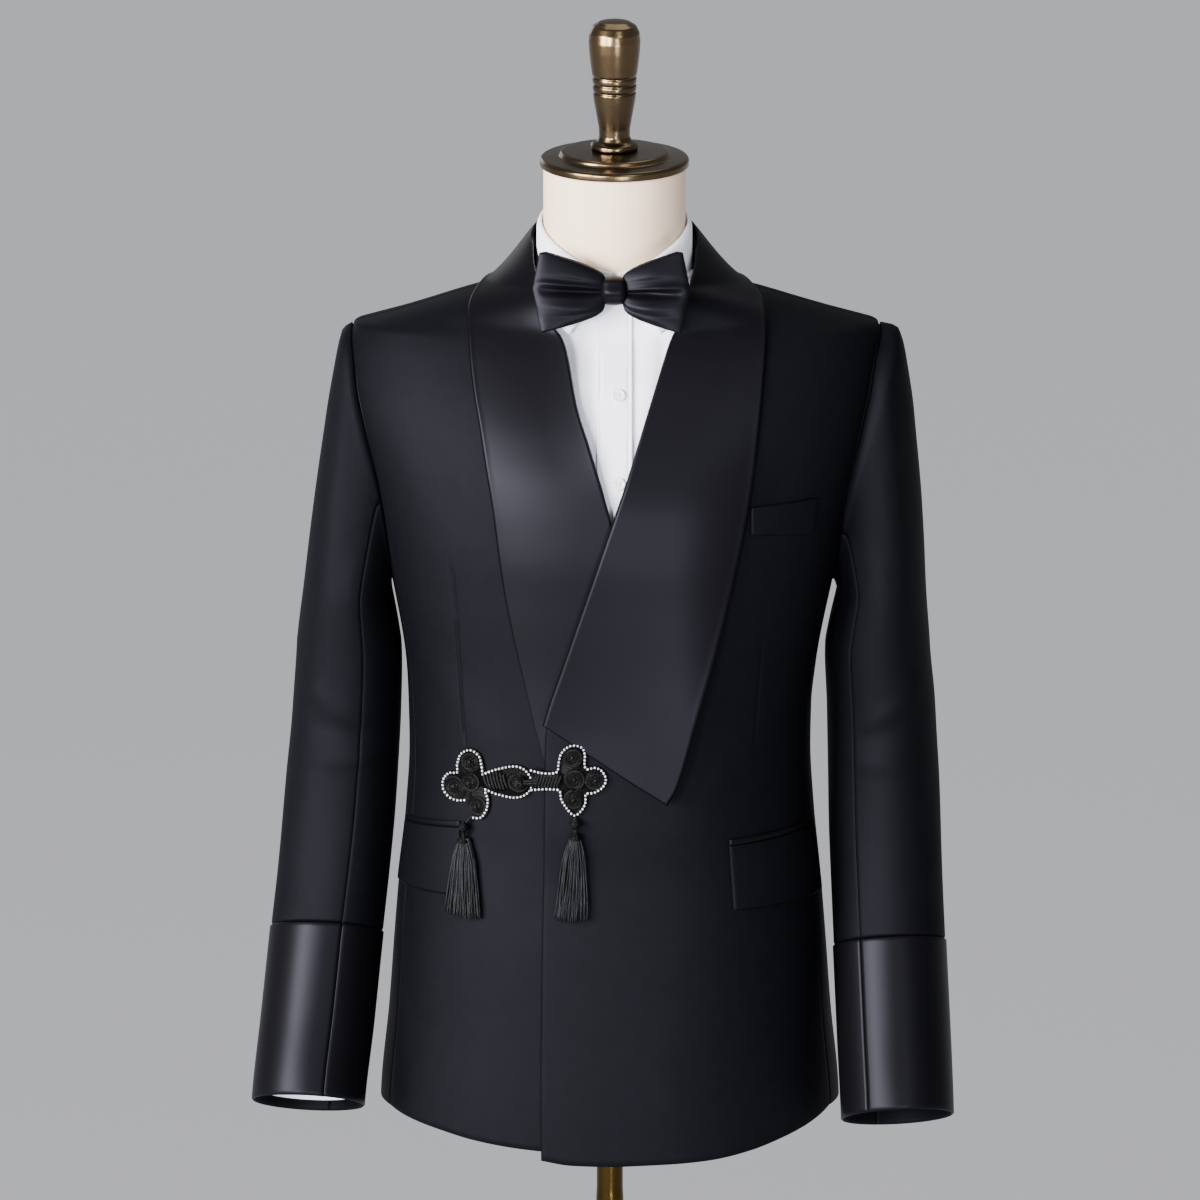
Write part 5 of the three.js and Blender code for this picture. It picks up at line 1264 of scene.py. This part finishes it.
# rings from radius and rise, dented at four holes, and two crossed threads
def buttonBody(foot, normal):
    side1 = unit(np.cross([0.0, 0.0, 1.0], normal))
    side2 = np.cross(normal, side1)
    shares = np.array([0.0, 0.6, 0.9, 1.0, 1.0, 0.95, 0.86, 0.78, 0.72, 0.66]
                      + list(np.linspace(0.6, 0.03, 16)))
    rise = np.array([0.05, 0.05, 0.1, 0.45, 1.0, 1.4, 1.5, 1.42, 1.2, 1.05] + [1.0] * 16)
    a = np.linspace(0, tau, 48, endpoint=False)
    r, turn = np.meshgrid(shares * buttons["radius"], a, indexing="ij")
    px, py = r * np.cos(turn), r * np.sin(turn)
    z = np.broadcast_to(rise[:, None], px.shape).copy()
    for cx in (-1, 1):
        for cy in (-1, 1):
            off = np.hypot(px - cx * buttons["holeOut"], py - cy * buttons["holeOut"])
            z[10:] -= 0.8 * (1 - smooth(buttons["hole"] * 0.7, buttons["hole"] * 1.3, off[10:]))
    rings = foot + px[..., None] * side1 + py[..., None] * side2 + z[..., None] * normal
    threads = []
    for way in (1, -1):
        s = np.linspace(-1, 1, 9)
        line = foot + (s * buttons["holeOut"])[:, None] * side1 + (
            way * s * buttons["holeOut"])[:, None] * side2
        line = line + (1.0 + 0.35 * (1 - s**4))[:, None] * normal
        threads.append(cordBody(line, np.tile(normal, (9, 1)), 0.28, 6))
    return [ringBody(rings)] + threads


for number, (h, rise) in enumerate(buttons["rows"], 1):
    u = angleInFront("left", buttons["x"], h)
    foot = bodyPoint("left", u, h, shirtIn(h) + 1 + cloth["shirtWall"] + rise)
    bodies = buttonBody(foot, bodyNormal("left", u, h))
    settle(gathered(f"pearl_button_{number}", bodies, [pearl, cotton], [0, 1, 1]), "button_pearl",
           f"shirt_button_{number}")

# collar: the leaf folds over its stand; both run round the neck from the right front over the back
collarStations = through([(0, 330, 0, 292, 62), (50, 326, 48, 287, 62), (95, 314, 86, 281, 62.2),
                          (130, 300, 114, 268, 64),
                          (155, 289, 136, 246, 74), (179, 281.5, 152, 234, 78)])


# a place round the neck, from the back (0) to the front (180 degrees)
def onNeck(angle, radius, h):
    return point(neck["x"] + radius * np.sin(angle * degree),
                 neck["y"] + radius * np.cos(angle * degree), h)


ways = steps(190, 420) * 2 - 1
turn, fold, edgeTurn, lowEdge, reach = np.moveaxis(collarStations(np.abs(ways)), -1, 0)
f = np.concatenate([[0, 0.015, 0.04], steps(34, 45)[2:] * 0.96 + 0.04])[:, None]
angle = np.sign(ways) * mix(turn, edgeTurn, smooth(0, 1, f) * 0.4 + f * 0.6)
radius = np.where(f < 0.05, mix(58.8, 61.2, smooth(0, 0.05, f)), mix(61.9, reach, f**1.5))
height = np.where(f < 0.05, fold + 0.5 + 0.6 * np.sin(np.clip(f / 0.05, 0, 1) * np.pi * 0.6),
                  mix(fold, lowEdge, f))
leaf = onNeck(angle, radius, height)
leaf = np.where((height < 275)[..., None], pushedOut(leaf, shirtIn(height) + 3.1), leaf)
leaf = relaxed(leaf, 3)
stitch = 0.3 * np.exp(-(((1 - f) * 45 - 5) / 0.9) ** 2) * (0.6 + 0.4 * np.sin(ways * 420 / 2.6 * np.pi))
leafOver = moved(leaf, fromAxis, cloth["shirtWall"] - stitch)
clothPiece("shirt_collar_leaf", drawnBack(leafOver), drawnBack(leaf), [cotton, cotton], "shirt_cotton",
           ["shirt_collar"],
           "folded", ["form_torso"])

u = (90 - np.abs(ways) * 176) * degree
neckH = np.where(u > 0, mix(shirt["neckSide"], shirt["neckBack"], u / (90 * degree)),
                 mix(shirt["neckSide"], shirt["neckFront"], -u / (90 * degree)))
feet = [bodyPoint(side, u, neckH + 1.6, shirtIn(neckH) + 0.2) for side in ("right", "left")]
foot = np.where((ways < 0)[:, None], *feet)
middle = onNeck(np.sign(ways) * turn, 59.8, foot[:, 2] - chestLine + 5)
high = onNeck(np.sign(ways) * turn, 59.8, fold)
v = steps(26, 45)[:, None, None]
neckStand = np.where(v < 0.15, mix(foot[None], middle[None], v / 0.15),
                     mix(middle[None], high[None], (v - 0.15) / 0.85))
clothPiece("shirt_collar_band", neckStand, moved(neckStand, fromAxis, -cloth["shirtWall"]),
           [cotton, cotton], "shirt_cotton",
           ["shirt_collar_stand"], "folded", ["form_torso"])

# sleeves and cuffs of the shirt, closed round
ring = np.linspace(0, tau, 60, endpoint=False)
for side in sides:
    outer, inner = sleeveFaces(side, ring, -330, cloth["shirtWall"], 8, 3, float(shirtIn(195)) + 0.6,
                               6.5, 11.5, True, (30, 70))
    clothPiece("shirt_sleeve_cloth_" + side, outer, inner, [cotton, cotton], "shirt_cotton",
               ["shirt_sleeve_" + side],
               "hung", ["sleeve_top_cloth_" + side], closed=True)
    cuffEnd = {"left": -389, "right": -396}[side]
    h, turns = np.meshgrid(mix(-330.6, cuffEnd, steps(26, 68)), ring, indexing="ij")
    outer, inner = (sleeveRing(side, h, inset, turns) for inset in (6.5, 8.1))
    clothPiece("shirt_cuff_cloth_" + side, outer, inner, [cotton, cotton], "shirt_cotton",
               ["shirt_cuff_" + side],
               "folded", ["shirt_sleeve_cloth_" + side], closed=True)
print("shirt ready")


# Bow tie

bow = {"x": 3, "y": -85, "h": 271, "knotWidth": 12, "knotHeight": 11.6, "knotDepth": 12.3,
       "reach": {"left": 61, "right": 65.5},
       "root": 10.8, "tipTop": 33.5, "tipLow": 32, "topCurve": 0.6, "lowCurve": 0.44, "point": 13,
       "puff": 4.2, "lean": 0.18}

bandWays = np.linspace(-1, 1, 120, endpoint=False)
turn, fold = np.moveaxis(collarStations(np.abs(bandWays))[:, :2], -1, 0)
bandRows = mix(4, 14, steps(10, 10))[:, None]
band = onNeck(np.sign(bandWays) * turn * 180 / 179, 61.3, fold - bandRows)
clothPiece("bow_neck_band", band, band - fromAxis(band), [satin, satin], "satin", ["bow_band"],
           "stretched",
           ["shirt_collar_band"], closed=True)


# a wing goes out (q from -1 at the back root to 0 at its tip) and folds back to the front root (q = 1);
# its folds run out from the knot: a valley along the middle with a ridge above and below
for side in sides:
    q, r = np.meshgrid(steps(110, 130) * 2 - 1, steps(56, 60), indexing="xy")
    s = 1 - np.abs(q) ** 2
    top = mix(bow["root"], bow["tipTop"], s ** bow["topCurve"]) - 2.0 * smooth(0.85, 1, s)
    low = -mix(bow["root"], bow["tipLow"], s ** bow["lowCurve"]) - (1 if side == "left" else 0) * s
    x = mix(bow["knotWidth"] - 5, bow["reach"][side] - bow["point"] * np.abs(r - 0.55) * s**2, s)
    half = mix(2.2, 2.9, s) * np.sqrt(np.maximum(1 - s**8, 0)) * np.where(q < 0, -1, 1)
    front = smooth(0.0, 0.3, -q)
    # two lobes near the knot that join into one towards the tip, parted by a deep fold
    lobes = np.abs(np.sin(2 * np.pi * np.clip(r - 0.02 * s, 0, 1))) ** 0.7
    single = np.sin(np.pi * r) ** 0.6
    bulge = bow["puff"] * np.sin(np.pi * np.clip(s, 0, 1) ** 0.75) * (
        mix(lobes, single, smooth(0.35, 0.85, s)))
    fade = np.exp(-(((s - 0.5) / 0.42) ** 2))
    centre = 0.52 if side == "right" else 0.47
    valley = 3.6 * np.exp(-(((r - centre) / 0.055) ** 2)) * fade * (1 - smooth(0.8, 0.98, s))
    ridges = 1.8 * np.exp(-(((r - centre - 0.1)
                             / 0.04) ** 2)) * fade + 0.9 * np.exp(-(((r - 0.22 - 0.12 * s)
                                                                     / 0.06) ** 2)) * fade
    small = 1.0 * np.exp(-(((r - 0.74 + 0.1 * s)
                            / 0.05) ** 2)) * fade + 0.7 * np.exp(-(((r - 0.12 - 0.06 * s)
                                                                    / 0.04) ** 2)) * fade
    rise = mix(low, top, r)
    y = bow["y"] - 5 * s + half - front * (bulge + ridges - valley - small) + bow["lean"] * rise
    grid = point(bow["x"] + sign[side] * x, y, bow["h"] + rise)
    middleShare = np.clip(1 - np.abs(q) / 0.25, 0, 1)
    inward = unit(np.stack([-sign[side] * middleShare, -np.sign(q + 1e-9) * (1 - middleShare), 0 * q],
                           -1))
    clothPiece("bow_wing_cloth_" + side, grid, grid + inward * cloth["shirtWall"], [satin, satin],
               "satin",
               ["bow_wing_" + side], "folded", ["bow_knot_wrap"])

# the knot: a rounded square section wrapped by cloth with three soft pleats across it
r = np.sin(np.linspace(-1, 1, 44) * np.pi / 2)[:, None]
a = np.linspace(0, tau, 72, endpoint=False)[None, :]
size = (1 - np.abs(r) ** 5 * 0.97) ** 0.5
depth = (1 - np.abs(r) ** 2.4 * 0.97) ** 0.5
pleats = 0.8 * np.cos(r * 2 * np.pi) * np.maximum(-np.sin(a), 0) ** 0.5
kx = power(np.cos(a), 0.7) * (bow["knotWidth"] - 1.2 + 0.3 * np.cos(r * 2 * np.pi)) * size
ky = power(np.sin(a), 0.7) * (bow["knotDepth"] * depth + pleats * size)
rings = point(bow["x"] + kx, bow["y"] + 2 + ky, bow["h"] + r * bow["knotHeight"] + 0 * a)
knot = gathered("bow_knot_wrap", [ringBody(rings)], [satin])
settle(knot, "satin", "bow_knot")
print("bow tie ready")


# Dress form and stand

formTable = columns("halfWidth halfDepth fullness x y", [
    (-300, 150, 108, 2.2, 0, 1), (-285, 160, 116, 2.2, 0, 1), (-228, 160, 114, 2.2, 0, 0),
    (-169, 153, 108, 2.2, 0, -4),
    (-100, 149, 104, 2.2, 0, -7), (-50, 152, 105, 2.2, 0, -7), (20, 163, 110, 2.3, 1, -6),
    (89, 178, 114, 2.3, 2, -3),
    (130, 186, 109, 2.3, 2.5, -1), (165, 190, 98, 2.3, 3, 0), (190, 188, 88, 2.3, 3.5, 0),
    (208, 177, 78, 2.3, 4, 0),
    (220, 155, 70, 2.3, 4, -1), (230, 128, 65, 2.2, 4, -2), (240, 100, 61, 2.1, 4, -4),
    (250, 76, 59, 2, 3.7, -6),
    (262, 59.5, 57.8, 2, 3.5, -8), (275, 57.6, 57.6, 2, 3.5, -8), (300, 57.6, 57.6, 2, 3.5, -8),
    (361, 57.6, 57.6, 2, 3.5, -8),
])
standValues = {"lean": 5 * degree, "baseRadius": 165, "poleRadius": 11, "poleTop": 819.7,
               "poleFoot": 54.3}

h = np.concatenate([np.linspace(-300, 200, 90), np.linspace(203, 361, 70)])[:, None]
a = np.linspace(0, tau, 120, endpoint=False)[None, :]
exponent = 2 / formTable["fullness"](h)
y = formTable["y"](h) + formTable["halfDepth"](h) * power(np.sin(a), exponent)
tip = (y - neck["y"]) * np.tan(standValues["lean"]) * smooth(300, 361, h)
rings = point(formTable["x"](h) + formTable["halfWidth"](h) * power(np.cos(a), exponent), y, h + tip)
torso = gathered("form_body", [ringBody(rings)], [jersey])
settle(torso, "form_jersey", "form_torso")

capFoot = [neck["x"], neck["y"], neck["top"] + chestLine]
capProfile = [(0.5, 0.4), (60.2, 0.4), (60.5, 1), (60.5, 5.5), (59, 7.5), (46, 8.5), (44.4, 9),
              (44, 11.6), (42, 12.6), (20, 13.6), (0.5, 13.6)]
cap = gathered("form_neck_cap", [ringBody(turnedRings(softProfile(capProfile, 0.7, 2), capFoot,
                                                      standValues["lean"]))], [brass])
settle(cap, "antique_brass", "neck_cap")
finialProfile = [
    (0.5, 14), (18.6, 14), (19.3, 15), (19.3, 18), (18, 19.2), (14, 21), (12.5, 24.5), (12.7, 31),
    (14.6, 42), (16.8, 54),
    (17.6, 60.5), (16.6, 61.8), (17.7, 63.2), (17.8, 66.8), (16.8, 68.2), (17.9, 69.6), (18, 73),
    (17.1, 74.4), (18.3, 75.8),
    (19.4, 84), (20.6, 95), (21, 103), (20.3, 110), (17.6, 115.4), (12, 118.8), (5, 120), (0.5, 120.2),
]
finial = gathered("form_finial", [ringBody(turnedRings(softProfile(finialProfile, 0.55, 2), capFoot,
                                                       standValues["lean"], 72))], [brass])
settle(finial, "antique_brass", "finial")
r0, p0 = standValues["baseRadius"], standValues["poleRadius"]
baseProfile = [(0.5, 0), (r0 - 4, 0), (r0, 3), (r0, 9), (r0 - 4, 13), (60, 20), (30, 26), (22, 34),
               (20, 52), (p0 + 1, 54), (0.5, 54)]
base = gathered("stand_base", [ringBody(turnedRings(softProfile(baseProfile, 1.2, 2), [0, 0, 0], 0,
                                                    144))], [brass])
settle(base, "antique_brass", "base")
polePlaces = [(0.5, standValues["poleFoot"]), (p0, standValues["poleFoot"] + 0.6), (p0, 600),
              (p0 + 0.5, 606), (p0 + 0.5, 612), (p0, 618),
              (p0, standValues["poleTop"] - 0.6), (0.5, standValues["poleTop"])]
poleTube = gathered("stand_pole",
                    [ringBody(turnedRings(softProfile(polePlaces, 3, 1), [0, 0, 0], 0, 48))], [pole])
settle(poleTube, "antique_brass", "pole")
print("form and stand ready")


# Stage, light and camera

stage = {"floor": 40.0, "floorColor": (0.07, 0.071, 0.075), "glowColor": (0.94, 0.95, 1.0),
         "glow": 0.525, "world": 0.26}
floorPoints = np.array([[-1, -1, 0], [1, -1, 0], [1, 1, 0], [-1, 1, 0]]) * stage["floor"] * 1000
floorCloth = newMaterial("studio_floor", stage["floorColor"], 0.9, specular=0.1)
floorShader = floorCloth.node_tree.nodes["Principled BSDF"].inputs
floorShader["Emission Color"].default_value = (*stage["glowColor"], 1)
floorShader["Emission Strength"].default_value = stage["glow"]
floor = newMesh("studio_floor", floorPoints, [[0, 1, 2, 3]], [floorCloth])

world = bpy.data.worlds.new("studio")
bpy.context.scene.world = world
world.use_nodes = True
world.node_tree.nodes["Background"].inputs["Color"].default_value = (0.93, 0.96, 1, 1)
world.node_tree.nodes["Background"].inputs["Strength"].default_value = stage["world"]

# lights as place, aim, size and power; places in metres
lights = {
    "key": {"place": (-2.2, -1.9, 1.85), "aim": (0, 0, 1.2), "size": (1.2, 1.5), "power": 300,
            "color": (1, 0.985, 0.96)},
    "front": {"place": (-1.6, -3.6, 1.5), "aim": (0, 0, 1.15), "size": (0.9, 0.8), "power": 220,
              "color": (1, 0.99, 0.98)},
    "low": {"place": (1.0, -4.6, 0.45), "aim": (0, 0, 1.1), "size": (0.8, 0.8), "power": 110,
            "color": (0.97, 0.97, 1)},
    "fill": {"place": (1.6, -3.8, 3.4), "aim": (0, 0, 1.2), "size": (1.4, 1.4), "power": 42,
             "color": (0.94, 0.97, 1)},
    "top": {"place": (0.2, 0.8, 3.6), "aim": (0, 0, 1.3), "size": (1.8, 1.4), "power": 14,
            "color": (1, 1, 1)},
    "behind": {"place": (-1.8, 3.4, 2.2), "aim": (0, 0, 1.1), "size": (1.6, 1.6), "power": 12,
               "color": (1, 1, 1)},
}
for name, values in lights.items():
    data = bpy.data.lights.new(name, "AREA")
    data.shape, data.size, data.size_y = "RECTANGLE", *values["size"]
    data.energy, data.color = values["power"], values["color"]
    lamp = bpy.data.objects.new(name, data)
    lamp.location = values["place"]
    lamp.rotation_mode = "QUATERNION"
    lamp.rotation_quaternion = (Vector(values["aim"]) - Vector(values["place"])).to_track_quat("-Z", "Y")
    bpy.context.scene.collection.objects.link(lamp)

camera = {"aim": (-0.0082, 0, 1.12), "distance": 6.0, "elevation": 12 * degree, "lens": 219.5,
          "sensor": 36}
data = bpy.data.cameras.new("camera")
data.lens, data.sensor_width = camera["lens"], camera["sensor"]
data.clip_start, data.clip_end = 0.1, 200
eye = bpy.data.objects.new("camera", data)
aim = Vector(camera["aim"])
back = Vector((0, -np.cos(camera["elevation"]), np.sin(camera["elevation"])))
eye.location = aim + back * camera["distance"]
eye.rotation_mode = "QUATERNION"
eye.rotation_quaternion = (-back).to_track_quat("-Z", "Y")
bpy.context.scene.collection.objects.link(eye)
bpy.context.scene.camera = eye
